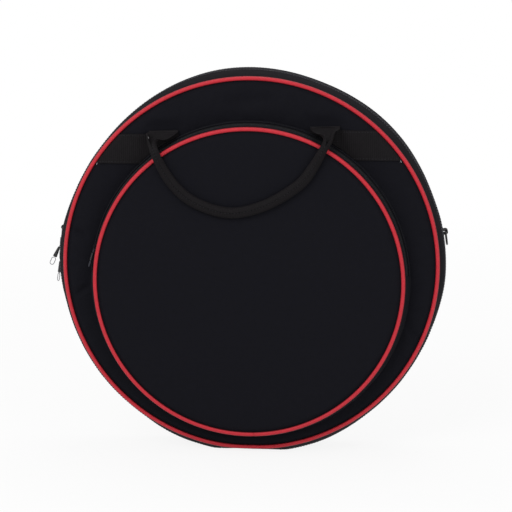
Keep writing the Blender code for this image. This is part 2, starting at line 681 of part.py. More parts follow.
def make_pull(prefix, frame, coil_thickness, scale, tilt, twist):
    """A pull hung under a slider's bridge: a cord with a moulded grip and a loop at its end."""
    top = coil_thickness / 2 + SLIDER_CLEARANCE + SLIDER_PLATE * scale
    bridge_end = BRIDGE_LENGTH * scale / 2 - BRIDGE_THICKNESS - 2 * (PULL_CORD_RADIUS + FIT_GAP)
    pivot_place = Matrix.Translation((-bridge_end, 0.0, top + FIT_GAP + PULL_CORD_RADIUS))
    pivot = add_empty(prefix + "_pull_pivot", frame @ pivot_place @ Matrix.Rotation(tilt, 4, "Y"))
    spread = BRIDGE_WIDTH / 2 + FIT_GAP + PULL_CORD_RADIUS
    link_end = PULL_LINK_LENGTH - FIT_GAP
    near = PULL_CORD_RADIUS + FIT_GAP / 2
    side = [(-link_end, near, 0.0), (-link_end * 0.6, spread, 0.0), (-near, spread, 0.0), (0.0, spread - near, 0.0)]
    link = side + [(along, -across, up) for along, across, up in reversed(side)]
    round_wire(prefix + "_pull_link", link, PULL_CORD_RADIUS, cord, pivot)
    turned = Matrix.Rotation(twist, 4, "X")
    grip_start = -PULL_LINK_LENGTH
    grip_length = PULL_GRIP_LENGTH * scale
    stations = ((0.0, 0.80), (0.06, 1.0), (0.94, 1.0), (1.0, 0.86))
    sections = []
    for along, fill in stations:
        width = (PULL_GRIP_TOP + (PULL_GRIP_END - PULL_GRIP_TOP) * along) * fill / 2
        height = PULL_GRIP_THICKNESS * fill / 2
        ring = []
        for index in range(10):
            angle = 2 * pi * index / 10
            ring.append(turned @ Vector((grip_start - along * grip_length, width * cos(angle), height * sin(angle))))
        sections.append(ring)
    loft(prefix + "_pull_grip", sections, rubber, pivot)
    loop_start = grip_start - grip_length - FIT_GAP
    loop_half = PULL_LOOP_WIDTH / 2
    loop_centre = loop_start - PULL_LOOP_LENGTH * scale + loop_half + PULL_CORD_RADIUS
    loop = [(loop_start, near, 0.0), (loop_start - loop_half * 0.8, loop_half, 0.0)]
    for index in range(7):
        angle = pi * index / 6
        loop.append((loop_centre - loop_half * sin(angle), loop_half * cos(angle), 0.0))
    loop += [(loop_start - loop_half * 0.8, -loop_half, 0.0), (loop_start, -near, 0.0)]
    round_wire(prefix + "_pull_loop", [turned @ Vector(point) for point in loop], PULL_CORD_RADIUS, cord, pivot)


def zip_frame(angle, radius, depth, centre_z, lean):
    """Axes of a zip at an angle: X along it clockwise, Z out of it, leaning forward with the wall."""
    outward = Vector((sin(angle), 0.0, cos(angle)))
    along = Vector((cos(angle), 0.0, -sin(angle)))
    normal = outward * cos(lean) + Vector((0.0, -sin(lean), 0.0))
    across = normal.cross(along)
    place = ring_point(angle, radius, depth, centre_z)
    rows = [(along[row], across[row], normal[row], place[row]) for row in range(3)]
    return Matrix(rows + [(0.0, 0.0, 0.0, 1.0)])


def slider_sink(radius):
    """How far a slider sits inside its zip's corners, to clear the straight lengths between them."""
    return SLIDER_SINK_SHARE * radius * (1 - cos(RING_STEP / 2))


def make_sliders():
    """The two sliders that meet on the left of the main zip, and the pocket's one."""
    nose_up = 1
    nose_down = -1
    main = (("upper", UPPER_SLIDER_ANGLE, nose_down, UPPER_PULL_TILT, UPPER_PULL_TWIST),
            ("lower", LOWER_SLIDER_ANGLE, nose_up, LOWER_PULL_TILT, LOWER_PULL_TWIST))
    for prefix, angle, nose, tilt, twist in main:
        frame = zip_frame(angle, COIL_RADIUS - slider_sink(COIL_RADIUS), ZIP_OFFSET, BAG_Z, 0.0)
        make_slider(prefix + "_slider", frame, COIL_THICKNESS, 1.0, nose)
        make_pull(prefix, frame, COIL_THICKNESS, 1.0, tilt, twist)
    lean = wall_lean()
    zip_middle = -(WALL_BASE + WALL_EDGE) / 2
    coil_middle = wall_surface(zip_middle) - POCKET_ZIP_DEPTH - POCKET_TAPE_THICKNESS / 2
    frame = zip_frame(POCKET_SLIDER_ANGLE, coil_middle - slider_sink(coil_middle), zip_middle, POCKET_Z, lean)
    make_slider("pocket_slider", frame, POCKET_COIL_THICKNESS, POCKET_SLIDER_SCALE, nose_up)
    make_pull("pocket", frame, POCKET_COIL_THICKNESS, POCKET_SLIDER_SCALE, LOWER_PULL_TILT, 0.0)


def wall_lean():
    """How far the pocket's wall leans forward from square."""
    rise = WALL_BASE_RADIUS - WALL_EDGE_RADIUS
    run = WALL_EDGE - WALL_BASE
    return acos(run / sqrt(run ** 2 + rise ** 2))


def make_side_ring(side, prefix):
    """A webbing tab on the rear gusset strip and the D-ring that hangs in it."""
    angle = side * TAB_ANGLE
    outward = Vector((sin(angle), 0.0, cos(angle)))
    upward = Vector((-side * cos(angle), 0.0, side * sin(angle)))
    bar_radius = gusset_surface(TAB_OFFSET) + TAB_REACH
    inner = RING_WIRE_RADIUS + FIT_GAP
    outer = inner + CLOTH_THICKNESS
    steps = 6
    sections = []
    for step in range(5):
        depth = TAB_OFFSET + TAB_WIDTH * (step / 4 - 0.5)
        foot = gusset_surface(depth) + FIT_GAP * 2
        outline = [(foot, -outer)]
        outline += [(bar_radius + outer * sin(pi * index / steps), -outer * cos(pi * index / steps))
                    for index in range(steps + 1)]
        outline += [(foot, outer), (foot, TAB_SLIT / 2), (bar_radius - inner, TAB_SLIT / 2)]
        outline += [(bar_radius - inner * cos(pi * index / steps), inner * sin(pi * index / steps))
                    for index in range(1, steps)]
        outline += [(bar_radius + inner, 0.0)]
        outline += [(bar_radius + inner * cos(pi * index / steps), -inner * sin(pi * index / steps))
                    for index in range(1, steps)]
        outline += [(bar_radius - inner, -TAB_SLIT / 2), (foot, -TAB_SLIT / 2)]
        centre = Vector((0.0, depth, BAG_Z))
        sections.append([centre + outward * reach + upward * rise for reach, rise in outline])
    loft(prefix + "_ring_tab", sections, webbing)
    place = ring_point(angle, bar_radius, TAB_OFFSET, BAG_Z)
    swing = Matrix.Rotation(-side * RING_TILT, 4, "Y")
    pivot = add_empty(prefix + "_ring_pivot", Matrix.Translation(place) @ swing)
    half_bar = TAB_WIDTH / 2 + RING_SIDE_PLAY + RING_WIRE_RADIUS
    ring_steps = 14
    wire = [(0.0, half_bar * cos(pi * index / ring_steps), -RING_HEIGHT * sin(pi * index / ring_steps))
            for index in range(ring_steps + 1)]
    round_wire(prefix + "_d_ring", wire, RING_WIRE_RADIUS, enamel, pivot, closed=True)


clear_scene()
bag = bpy.data.collections.new("cymbal_bag")
cutters = bpy.data.collections.new("cutters")
for collection in (bag, cutters):
    bpy.context.scene.collection.children.link(collection)

cloth = make_material("black_polyester", (0.010, 0.011, 0.014), 0.80)
webbing = make_material("black_webbing", (0.016, 0.015, 0.016), 0.75)
piping = make_material("red_piping", (0.60, 0.040, 0.060), 0.45)
foam = make_material("grey_foam", (0.20, 0.20, 0.21), 0.95)
lining = make_material("black_lining", (0.015, 0.015, 0.017), 0.70)
tape = make_material("zip_tape", (0.012, 0.012, 0.014), 0.75)
coil = make_material("nylon_coil", (0.020, 0.020, 0.022), 0.45)
core = make_material("core_cord", (0.45, 0.45, 0.45), 0.80)
metal = make_material("black_zinc", (0.045, 0.045, 0.050), 0.35, 1.0)
enamel = make_material("black_enamel", (0.010, 0.010, 0.010), 0.30, 0.6)
rubber = make_material("moulded_grip", (0.010, 0.010, 0.011), 0.55)
cord = make_material("grey_cord", (0.25, 0.25, 0.26), 0.70)

make_face(FRONT, "front")
make_face(REAR, "rear")
make_gusset()
make_pocket()
make_handle(FRONT, "front", POCKET_PLANE + PIPING_RADIUS + GRIP_REST_GAP + WEBBING_THICKNESS / 2)
make_handle(REAR, "rear", HANGING_LAYER + GRIP_REST_GAP)
make_sliders()
make_side_ring(LEFT, "left")
make_side_ring(RIGHT, "right")

for source in (cloth, webbing, piping, foam, lining, tape, coil, core, metal, enamel, rubber, cord):
    bpy.data.materials.remove(source)
bpy.context.view_layer.update()
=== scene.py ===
"""Dresses the cymbal bag: padded cloth, webbing, piping, zips and black hardware over the CAD model."""

import logging
from dataclasses import dataclass
from enum import Enum
from functools import cache
from math import acos, cos, pi, radians, sin, sqrt, tau
from typing import Any, Callable, Optional, Sequence

import bmesh
import bpy
import numpy as np
from bpy.types import Material, Mesh, Node, NodeSocket, NodeTree, Object
from mathutils import Matrix, Vector, noise
from mathutils.bvhtree import BVHTree


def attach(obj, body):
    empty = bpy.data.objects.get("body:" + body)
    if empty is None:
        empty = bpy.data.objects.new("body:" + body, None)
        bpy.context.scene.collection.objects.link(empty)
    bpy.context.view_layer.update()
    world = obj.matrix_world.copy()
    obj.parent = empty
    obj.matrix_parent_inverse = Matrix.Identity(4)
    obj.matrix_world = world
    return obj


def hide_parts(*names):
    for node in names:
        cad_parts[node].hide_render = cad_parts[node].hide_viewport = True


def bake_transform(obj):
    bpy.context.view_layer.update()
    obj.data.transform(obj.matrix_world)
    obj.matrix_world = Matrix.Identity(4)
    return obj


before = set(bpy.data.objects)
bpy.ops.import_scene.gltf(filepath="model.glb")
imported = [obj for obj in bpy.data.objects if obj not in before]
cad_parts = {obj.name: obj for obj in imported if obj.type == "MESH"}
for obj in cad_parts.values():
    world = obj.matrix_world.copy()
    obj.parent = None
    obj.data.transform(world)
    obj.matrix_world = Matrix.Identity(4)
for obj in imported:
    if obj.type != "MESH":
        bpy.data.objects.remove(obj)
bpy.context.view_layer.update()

log = logging.getLogger("cymbal_bag")

Points = np.ndarray
Triple = tuple[float, float, float]
Feed = Node | NodeSocket
HexColour = str
Surface = Callable[[float], float]
Field = Callable[[Points, Points], Points]


class Face(Enum):
    """The two padded faces of the bag, by the direction in which each looks along Y."""

    FRONT = -1
    REAR = 1

    @property
    def word(self) -> str:
        """The word that names this face's pieces."""
        return self.name.lower()

    @property
    def shell(self) -> str:
        """The body that carries this face."""
        return "lid" if self is Face.FRONT else "rear_shell"

    @property
    def side_shell(self) -> str:
        """What carries this half of the side: HINGE for the front half, the rear shell for the rear half."""
        return HINGE if self is Face.FRONT else "rear_shell"


class Flank(Enum):
    """The two sides of the bag as seen from its front, by their direction along X."""

    LEFT = -1
    RIGHT = 1


@dataclass(frozen=True)
class BagSizes:
    """Sizes of the whole bag in metres and radians, as its CAD model has them."""

    bag_radius: float = 0.255
    gusset_half: float = 0.035
    foot_angle: float = radians(9)
    foot_press: float = 0.0020
    foot_give: float = 0.0026
    fit_gap: float = 0.0003
    cloth: float = 0.0015
    piping_radius: float = 0.0030
    gusset_bulge: float = 0.0110
    zip_offset: float = -0.0080
    zip_lip: float = 0.0085
    tape_width: float = 0.0145
    tape: float = 0.0010
    pocket_margin: float = 0.046
    pocket_drop: float = 0.020
    pocket_depth: float = 0.026
    pocket_flare: float = 0.010
    pocket_zip_angle: float = radians(87)
    wall: float = 0.0012
    wall_strip: float = 0.0050
    pocket_tape_width: float = 0.0090
    pocket_tape: float = 0.0008

    apex_radius: float = bag_radius + gusset_bulge
    """Outer radius of the side gusset under the zip."""
    bag_z: float = apex_radius * cos(foot_angle) - foot_press
    """Height of the bag's middle above the floor."""
    hinge_start: Triple = 0.0, zip_offset, 0.0
    """Where the side's cloth starts to bend as the lid opens."""
    hinge_end: Triple = 0.0, zip_offset - 0.012, 0.010
    """Where the side's cloth has turned as far as the lid has."""
    pocket_z: float = bag_z - pocket_drop
    """Height of the pocket's middle above the floor."""
    pocket_radius: float = bag_radius - pocket_margin
    """Radius of the pocket's piping."""
    pocket_panel_radius: float = pocket_radius - piping_radius - fit_gap
    """Radius of the pocket's cloth inside its piping."""
    gusset_edge: float = gusset_half - piping_radius - fit_gap
    """Half the width of the gusset between its two pipings."""
    panel_radius: float = bag_radius - piping_radius - fit_gap
    """Radius of a face's cloth inside its piping."""
    coil_radius: float = apex_radius - cloth - fit_gap - tape / 2
    """Radius of the main zip's coils."""
    panel_face: float = gusset_half + cloth
    """Distance of a face's cloth from the bag's middle plane."""
    pocket_plane: float = gusset_half + pocket_depth
    """Distance of the pocket's piping from the bag's middle plane."""
    wall_base: float = panel_face + fit_gap
    """Where the pocket's wall starts, as a distance from the middle plane."""
    wall_edge: float = pocket_plane - piping_radius - fit_gap
    """Where the pocket's wall meets its piping, as a distance from the middle plane."""
    wall_base_radius: float = pocket_radius + pocket_flare
    """Outer radius of the pocket's wall against the bag's face."""
    wall_edge_radius: float = pocket_radius + piping_radius
    """Outer radius of the pocket's wall at its piping."""

    @property
    def wall_lean(self) -> float:
        """How far the pocket's wall leans forward from square.

        Returns:
            The angle in radians.
        """
        rise = self.wall_base_radius - self.wall_edge_radius
        run = self.wall_edge - self.wall_base
        return acos(run / sqrt(run ** 2 + rise ** 2))

    def gusset_surface(self, depth: float) -> float:
        """Gives the outer radius of the side gusset, level under the zip and rounding off to both pipings.

        Args:
            depth: Place along Y.

        Returns:
            The radius.
        """
        reach = abs(depth - self.zip_offset) - self.zip_lip
        if reach <= 0:
            return self.apex_radius
        side = 1 if depth > self.zip_offset else -1
        full = self.gusset_edge - side * self.zip_offset - self.zip_lip
        edge_radius = self.bag_radius + self.cloth / 2
        return self.apex_radius - (self.apex_radius - edge_radius) * (reach / full) ** 2

    def wall_surface(self, depth: float) -> float:
        """Gives the outer radius of the pocket's wall, on a straight slope from the face to its piping."""
        share = (-depth - self.wall_base) / (self.wall_edge - self.wall_base)
        return self.wall_base_radius + share * (self.wall_edge_radius - self.wall_base_radius)


SIZES = BagSizes()


@dataclass(frozen=True)
class HandleSizes:
    """Sizes of a carrying handle and of the bands that carry it."""

    webbing_width: float = 0.040
    webbing: float = 0.0016
    centre: float = -0.007
    half_span: float = 0.109
    drop: float = 0.1105
    left_rise: float = 0.0189
    right_rise: float = 0.0179
    band_top_drop: float = 0.0055
    grip_width: float = 0.0150
    grip_depth: float = 0.0090
    rest_gap: float = 0.0006
    funnel: float = 0.036
    fold: float = 0.985
    end_width: float = 0.0100
    end_depth: float = 0.0125
    turned: float = 0.070
    core_radius: float = 0.0022
    yarn_end: float = 0.0190
    straight: float = 0.0020
    route: tuple[Triple, ...] = (
        (-1.105, 0.165, 0.44), (-1.058, 0.310, 1.00), (-0.950, 0.525, 1.00), (-0.817, 0.702, 1.00),
        (-0.633, 0.855, 1.00), (-0.343, 0.975, 1.00), (-0.043, 1.000, 1.00), (0.332, 0.887, 1.00),
        (0.707, 0.650, 1.00), (0.882, 0.424, 1.00), (0.991, 0.230, 1.00), (1.045, 0.110, 0.72))

    band_layer: float = SIZES.panel_face + SIZES.fit_gap + webbing / 2
    """Middle of a band's thickness, as a distance from the bag's middle plane."""
    sewn_layer: float = band_layer + webbing + SIZES.fit_gap
    """Middle of a sewn end's thickness."""
    hanging_layer: float = sewn_layer + webbing + SIZES.fit_gap
    """Middle of the hanging webbing's thickness at its crest."""

    @property
    def slope(self) -> float:
        """How much the line through both crests rises across the bag."""
        return (self.crest_height(Flank.RIGHT) - self.crest_height(Flank.LEFT)) / (2 * self.half_span)

    def crest_centre(self, flank: Flank) -> float:
        """Gives the middle of the webbing's width at a crest."""
        return self.centre + flank.value * self.half_span

    def crest_height(self, flank: Flank) -> float:
        """Gives the height of a crest at the middle of the webbing.

        Args:
            flank: Its side.

        Returns:
            The height above the floor.
        """
        rise = self.left_rise if flank is Flank.LEFT else self.right_rise
        reach = SIZES.wall_base_radius + SIZES.fit_gap
        return SIZES.pocket_z + sqrt(reach ** 2 - self.crest_centre(flank) ** 2) + rise

    def band_limits(self, flank: Flank) -> Triple:
        """Gives a band's inner end and its two edges."""
        top = self.crest_height(flank) - self.band_top_drop
        return abs(self.crest_centre(flank)) - self.webbing_width / 2, top, top - self.webbing_width


HANDLE = HandleSizes()

SIDE_SAG: tuple[tuple[float, float], ...] = (
    (-165, 0.0), (-154, 0.0), (-145, 3.2), (-130, 2.6), (-110, 2.6), (-100, 2.4), (-94, 0.0), (-81, 0.0),
    (-75, 2.6), (-65, 4.8), (-50, 5.4), (-40, 3.8), (-30, 1.6), (-20, -0.8), (-10, -2.2), (0, -1.9), (10, -0.8),
    (20, 0.4), (30, -0.3), (40, -1.4), (50, -1.2), (60, 0.4), (70, 1.6), (77, 0.0), (95, 0.0), (105, 3.2),
    (120, 4.6), (140, 3.6), (150, 1.8), (157, 0.0), (165, 0.0))
"""How far the side's cloth has gone slack, in millimetres, by degrees from the top, as photographed."""


def linear(colour: HexColour) -> tuple[float, float, float, float]:
    """Turns an sRGB colour, six hex digits after a hash, into linear red, green, blue and an alpha of one."""
    parts = [int(colour[start:start + 2], 16) / 255 for start in (1, 3, 5)]
    return *(part / 12.92 if part <= 0.04045 else ((part + 0.055) / 1.055) ** 2.4 for part in parts), 1.0


def add_node(tree: NodeTree, kind: str, inputs: Optional[dict[Any, Any]] = None, **settings: Any) -> Node:
    """Adds a node with its settings, input values and links.

    Args:
        tree: The tree that the node joins.
        kind: The node's type.
        inputs: What each input gets, by its name or number: a value, a socket, or a node for its first output.
        **settings: Properties of the node.

    Returns:
        The new node.
    """
    node = tree.nodes.new(kind)
    for key, value in settings.items():
        setattr(node, key, value)
    for key, value in (inputs or {}).items():
        if isinstance(value, (Node, NodeSocket)):
            tree.links.new(value.outputs[0] if isinstance(value, Node) else value, node.inputs[key])
        else:
            node.inputs[key].default_value = value
    return node


@dataclass(frozen=True)
class Finish:
    """A surface finish: its colour, its gloss and a faint unevenness."""

    name: str
    colour: HexColour
    roughness: float
    metallic: float = 0.0
    sheen: float = 0.0
    sheen_roughness: float = 0.5
    specular: float = 0.5
    coat: float = 0.0

    def start(self) -> tuple[Material, NodeTree, Node]:
        """Makes the material with its shader and the values that are the same all over.

        Returns:
            The material, its node tree and its shader.
        """
        material = bpy.data.materials.new(self.name)
        material.use_nodes = True
        material.diffuse_color = linear(self.colour)
        shader = material.node_tree.nodes["Principled BSDF"]
        given = {"Base Color": linear(self.colour), "Roughness": self.roughness, "Metallic": self.metallic,
                 "Sheen Weight": self.sheen, "Sheen Roughness": self.sheen_roughness,
                 "Specular IOR Level": self.specular, "Coat Weight": self.coat}
        for name, value in given.items():
            shader.inputs[name].default_value = value
        return material, material.node_tree, shader

    def mottle(self, tree: NodeTree, shader: Node, coordinates: Feed, size: float, amount: float) -> Node:
        """Varies the colour and the roughness in soft patches.

        Args:
            tree: The material's tree.
            shader: Its shader.
            coordinates: Coordinates in metres.
            size: Size of the patches in metres.
            amount: How much lighter or darker they get, as a share.

        Returns:
            The node that gives the varied colour.
        """
        cloud = add_node(tree, "ShaderNodeTexNoise", {"Scale": 1 / size, "Detail": 3.0, "Vector": coordinates})
        strength = add_node(tree, "ShaderNodeMapRange", {0: cloud, 1: 0.3, 2: 0.7, 3: 1 - amount, 4: 1 + amount})
        colour = linear(self.colour)[:3]
        tinted = add_node(tree, "ShaderNodeVectorMath", {0: colour, "Scale": strength}, operation="SCALE")
        tree.links.new(tinted.outputs[0], shader.inputs["Base Color"])
        least = self.roughness * (1 - amount / 2)
        rough = add_node(tree, "ShaderNodeMapRange", {0: cloud, 1: 0.3, 2: 0.7, 3: least, 4: self.roughness})
        tree.links.new(rough.outputs[0], shader.inputs["Roughness"])
        return tinted

    @staticmethod
    def wave(tree: NodeTree, place: Feed, factor: float, operation: str = "ABSOLUTE") -> Node:
        """Adds a row of threads as a sine wave.

        Args:
            tree: The material's tree.
            place: Coordinate in metres across the threads.
            factor: Turn in radians for each metre.
            operation: What is done to the sine, or SINE to leave it.

        Returns:
            The node that gives the wave.
        """
        turned = add_node(tree, "ShaderNodeMath", {1: factor, 0: place}, operation="MULTIPLY")
        sine = add_node(tree, "ShaderNodeMath", {0: turned}, operation="SINE")
        if operation == "SINE":
            return sine
        return add_node(tree, "ShaderNodeMath", {0: sine}, operation=operation)

    @staticmethod
    def relief(tree: NodeTree, shader: Node, tinted: Node,
               height: Feed, lowest: float, highest: float, painted_shades: tuple[float, float],
               distance: float, strength: float) -> None:
        """Paints shade into the low places of a height pattern and a highlight onto its high places, and raises the
        surface by it.

        Args:
            tree: The material's tree.
            shader: Its shader.
            tinted: The node that gives the colour.
            height: The pattern's height.
            lowest: Its lowest value.
            highest: Its highest value.
            painted_shades: Shares of the colour at the lowest and the highest places: painted shade in the low places,
                painted highlight on the high ones.
            distance: Relief in metres.
            strength: Strength of the relief.
        """
        # Painted shade in the pattern's low places and painted highlight on its high places
        tint = add_node(tree, "ShaderNodeMapRange", {1: lowest, 2: highest, 3: painted_shades[0], 4: painted_shades[1], 0: height})
        shaded = add_node(tree, "ShaderNodeVectorMath", {0: tinted, "Scale": tint}, operation="SCALE")
        tree.links.new(shaded.outputs[0], shader.inputs["Base Color"])
        bump = add_node(tree, "ShaderNodeBump", {"Strength": strength, "Distance": distance, "Height": height})
        tree.links.new(bump.outputs[0], shader.inputs["Normal"])

    def material(self) -> Material:
        """Builds the plain finish with a faint unevenness, on Object coordinates.

        Returns:
            The material.
        """
        material, tree, shader = self.start()
        place = add_node(tree, "ShaderNodeTexCoord")
        self.mottle(tree, shader, place.outputs["Object"], 0.004, 0.10)
        return material


@dataclass(frozen=True)
class WovenCloth(Finish):
    """Woven polyester: crossing threads that catch light on their crowns, on UVs in metres."""

    thread: float = 0.0009
    depth: float = 0.00016
    slub: float = 0.10

    def material(self) -> Material:
        """Builds the weave from two crossing sets of threads that pass over each other in turn.

        Returns:
            The material.
        """
        material, tree, shader = self.start()
        place = add_node(tree, "ShaderNodeUVMap", uv_map="UVMap")
        scaled = add_node(tree, "ShaderNodeVectorMath", {"Scale": 1 / self.thread, 0: place}, operation="SCALE")
        parts = add_node(tree, "ShaderNodeSeparateXYZ", {0: scaled})
        over = add_node(tree, "ShaderNodeTexChecker", {"Scale": 1.0, "Vector": scaled})
        crowns = [self.wave(tree, parts.outputs[axis], pi) for axis in (0, 1)]
        threads = add_node(tree, "ShaderNodeMix", {0: over.outputs["Fac"], 2: crowns[0], 3: crowns[1]})
        tinted = self.mottle(tree, shader, place, 0.0060, self.slub)
        self.relief(tree, shader, tinted, threads, 0.0, 1.0, (0.72, 1.12), self.depth, 0.6)
        return material


@dataclass(frozen=True)
class RibbedWebbing(Finish):
    """Woven strap: heavy ribs across its length and finer warp ends along it, on UVs in metres."""

    rib: float = 0.0028
    warp: float = 0.0011
    depth: float = 0.00030

    def material(self) -> Material:
        """Builds the ribs from two sine waves, the weft ribs stronger than the warp ends.

        Returns:
            The material.
        """
        material, tree, shader = self.start()
        place = add_node(tree, "ShaderNodeUVMap", uv_map="UVMap")
        tinted = self.mottle(tree, shader, place, 0.0050, 0.14)
        parts = add_node(tree, "ShaderNodeSeparateXYZ", {0: place})
        ribs = self.wave(tree, parts, pi / self.rib)
        ends = self.wave(tree, parts.outputs[1], pi / self.warp)
        fine = add_node(tree, "ShaderNodeMath", {1: 0.35, 0: ends}, operation="MULTIPLY")
        height = add_node(tree, "ShaderNodeMath", {0: ribs, 1: fine}, operation="ADD")
        self.relief(tree, shader, tinted, height, 0.1, 1.2, (0.62, 1.18), self.depth, 0.8)
        return material


@dataclass(frozen=True)
class BiasCloth(Finish):
    """Cloth cut on the bias and drawn round a cord: fine threads that run round it at a slant."""

    thread: float = 0.0011
    depth: float = 0.00010
    girth: float = tau * 0.0030
    # Shares of the colour that the painted shade leaves at the cord's inner and outer edges
    painted_inner_shade: float = 0.08
    painted_outer_shade: float = 0.45

    def painted_edge_shade(self, tree: NodeTree, across: Feed) -> Node:
        """Paints shade on the cloth towards both edges of the cord, darkest on its inner side, in place of the light
        falling off round the cord and the shade where it turns down into its seam.

        Args:
            tree: The material's tree.
            across: Coordinate in metres round the cord.

        Returns:
            The node that gives the share of the colour.
        """
        # Painted shade: the colour falls off towards both edges of the cord, most on its inner side
        crown = self.wave(tree, across, tau / self.girth)
        turned = add_node(tree, "ShaderNodeMath", {1: tau / self.girth, 0: across}, operation="MULTIPLY")
        outward = add_node(tree, "ShaderNodeMath", {0: turned}, operation="COSINE")
        painted_shades = {0: outward, 1: -0.3, 2: 0.3, 3: self.painted_inner_shade, 4: self.painted_outer_shade}
        least = add_node(tree, "ShaderNodeMapRange", painted_shades)
        ramp = {0: crown, 1: 0.28, 2: 0.90, 3: least, 4: 1.0}
        return add_node(tree, "ShaderNodeMapRange", ramp, interpolation_type="SMOOTHSTEP")

    def material(self) -> Material:
        """Builds slanting threads with a satin sheen and painted shade towards both edges of the cord, on UVs in
        metres.

        Returns:
            The material.
        """
        material, tree, shader = self.start()
        place = add_node(tree, "ShaderNodeUVMap", uv_map="UVMap")
        mottled = self.mottle(tree, shader, place, 0.0070, 0.07)
        round_cord = add_node(tree, "ShaderNodeSeparateXYZ", {0: place})
        shaded = self.painted_edge_shade(tree, round_cord.outputs[1])
        tinted = add_node(tree, "ShaderNodeVectorMath", {0: mottled, "Scale": shaded}, operation="SCALE")
        turned = add_node(tree, "ShaderNodeMapping", {"Rotation": (0.0, 0.0, radians(45)), 0: place})
        parts = add_node(tree, "ShaderNodeSeparateXYZ", {0: turned})
        twill = self.wave(tree, parts, tau / self.thread, "SINE")
        self.relief(tree, shader, tinted, twill, -1.0, 1.0, (0.86, 1.06), self.depth, 0.5)
        return material


@dataclass(frozen=True)
class BraidedCord(Finish):
    """Thin braided cord: two sets of strands that wind round it in opposite ways."""

    plait: float = 0.0016

    def material(self) -> Material:
        """Builds the braid from two crossing slanted waves, on UVs in metres.

        Returns:
            The material.
        """
        material, tree, shader = self.start()
        place = add_node(tree, "ShaderNodeUVMap", uv_map="UVMap")
        tinted = self.mottle(tree, shader, place, 0.0020, 0.10)
        strands = []
        for angle in (radians(40), radians(-40)):
            turned = add_node(tree, "ShaderNodeMapping", {"Rotation": (0.0, 0.0, angle), 0: place})
            parts = add_node(tree, "ShaderNodeSeparateXYZ", {0: turned})
            strands.append(self.wave(tree, parts, tau / self.plait, "SINE"))
        braid = add_node(tree, "ShaderNodeMath", {0: strands[0], 1: strands[1]}, operation="MULTIPLY")
        self.relief(tree, shader, tinted, braid, -1.0, 1.0, (0.70, 1.15), 0.00012, 0.6)
        return material


@dataclass(frozen=True)
class WornCoat(Finish):
    """Plated, enamelled or moulded surface, rubbed lighter where it is handled, on Object coordinates."""

    rubbed: HexColour = "#55555a"
    grain: float = 0.0011

    def material(self) -> Material:
        """Builds the surface with a fine grain and rubbed patches.

        Returns:
            The material.
        """
        material, tree, shader = self.start()
        place = add_node(tree, "ShaderNodeTexCoord").outputs["Object"]
        rub = add_node(tree, "ShaderNodeTexNoise", {"Scale": 420.0, "Detail": 4.0, "Vector": place})
        share = add_node(tree, "ShaderNodeMapRange", {0: rub, 1: 0.52, 2: 0.75, 3: 0.0, 4: 0.55})
        colours = {0: share, 6: linear(self.colour), 7: linear(self.rubbed)}
        colour = add_node(tree, "ShaderNodeMix", colours, data_type="RGBA")
        tree.links.new(colour.outputs[2], shader.inputs["Base Color"])
        pit = add_node(tree, "ShaderNodeTexNoise", {"Scale": 1 / self.grain, "Detail": 2.0, "Vector": place})
        bump = add_node(tree, "ShaderNodeBump", {"Strength": 0.25, "Distance": 0.00008, "Height": pit})
        tree.links.new(bump.outputs[0], shader.inputs["Normal"])
        return material


# Black 600D polyester, plain woven and matt: threads of 0.5 mm, drawn at 0.9 mm so that they show
POLYESTER = WovenCloth("polyester_oxford_woven", "#101016", 0.78, sheen=0.015, sheen_roughness=0.45, specular=0.08)
# The same cloth round the sides, coloured lighter than the faces as painted light from above, and with a little more
# gloss
LIT_GUSSET_CLOTH = WovenCloth("polyester_oxford_gusset", "#151317", 0.70, sheen=0.012, sheen_roughness=0.40, specular=0.10)
# Polypropylene webbing: thick weft ribs with dull, slightly brown black yarn
WEBBING = RibbedWebbing("polypropylene_webbing_ribbed", "#151315", 0.70, sheen=0.010, specular=0.08)
# Polyester satin round a plastic cord: clear red with a soft gloss along its crown, and painted shade towards both its
# edges
PIPING = BiasCloth("satin_piping_red", "#c42936", 0.46, specular=0.25)
# Knitted polyester zip tape with fine wales
ZIP_TAPE = RibbedWebbing("knitted_zip_tape", "#161618", 0.80, specular=0.12, rib=0.0012, warp=0.0010, depth=0.00012)
# Nylon monofilament of the zip coils: smooth, slightly glossy
NYLON = Finish("nylon_zip_coil", "#1e1e22", 0.38, specular=0.45)
# Spun polyester thread, a shade lighter than the cloth where it catches the light
THREAD = Finish("polyester_stitch_thread", "#222227", 0.60, specular=0.25)
# The same thread twice as thick along the zip, coloured light grey: partly the thread's own colour, partly painted
# highlight along its raised rows, which show as two fine grey lines
TOPSTITCH = Finish("polyester_topstitch_thread", "#5c5c63", 0.60, specular=0.25)
# Twisted cord inside the handle, dark where the seam lets it show
CORE = Finish("twisted_core_cord", "#19191b", 0.80, specular=0.1)
# Cut yarn ends and the core's end, paler than the dyed outside
CUT_YARN = Finish("cut_yarn_ends", "#8d8d90", 0.80)
# Thin nylon taffeta inside the bag
TAFFETA = WovenCloth("nylon_taffeta_lining", "#1b1b1f", 0.55, specular=0.3, thread=0.0007, depth=0.00008)
# Die-cast zinc with a black plating
ZINC = WornCoat("black_plated_zinc", "#2b2b2f", 0.34, metallic=0.85, rubbed="#6a6a70")
# Steel wire with black enamel, glossy with soft highlights
ENAMEL = WornCoat("black_enamelled_steel", "#101012", 0.28, metallic=0.20, coat=0.3, rubbed="#2c2c30")
# Injection-moulded soft plastic with a fine matt grain
MOULDED = WornCoat("moulded_soft_plastic", "#141416", 0.52, rubbed="#232326", grain=0.0008)
# Grey polyester cord, braided
CORD = BraidedCord("braided_cord_grey", "#8a8b8f", 0.62, sheen=0.1)
# The pocket's cord: the same braid in a bluish black
DARK_CORD = BraidedCord("braided_cord_blue_black", "#33353f", 0.62)

HINGE = "lid_hinge"
# Stands for a place between the rear shell and the lid: a piece there keeps its place in its mesh and is left on no
# body.
"""Stands for a body where a piece bends with the lid's hinge."""


@cache
def material_of(finish: Finish) -> Material:
    """Gives a finish's material, built the first time."""
    return finish.material()


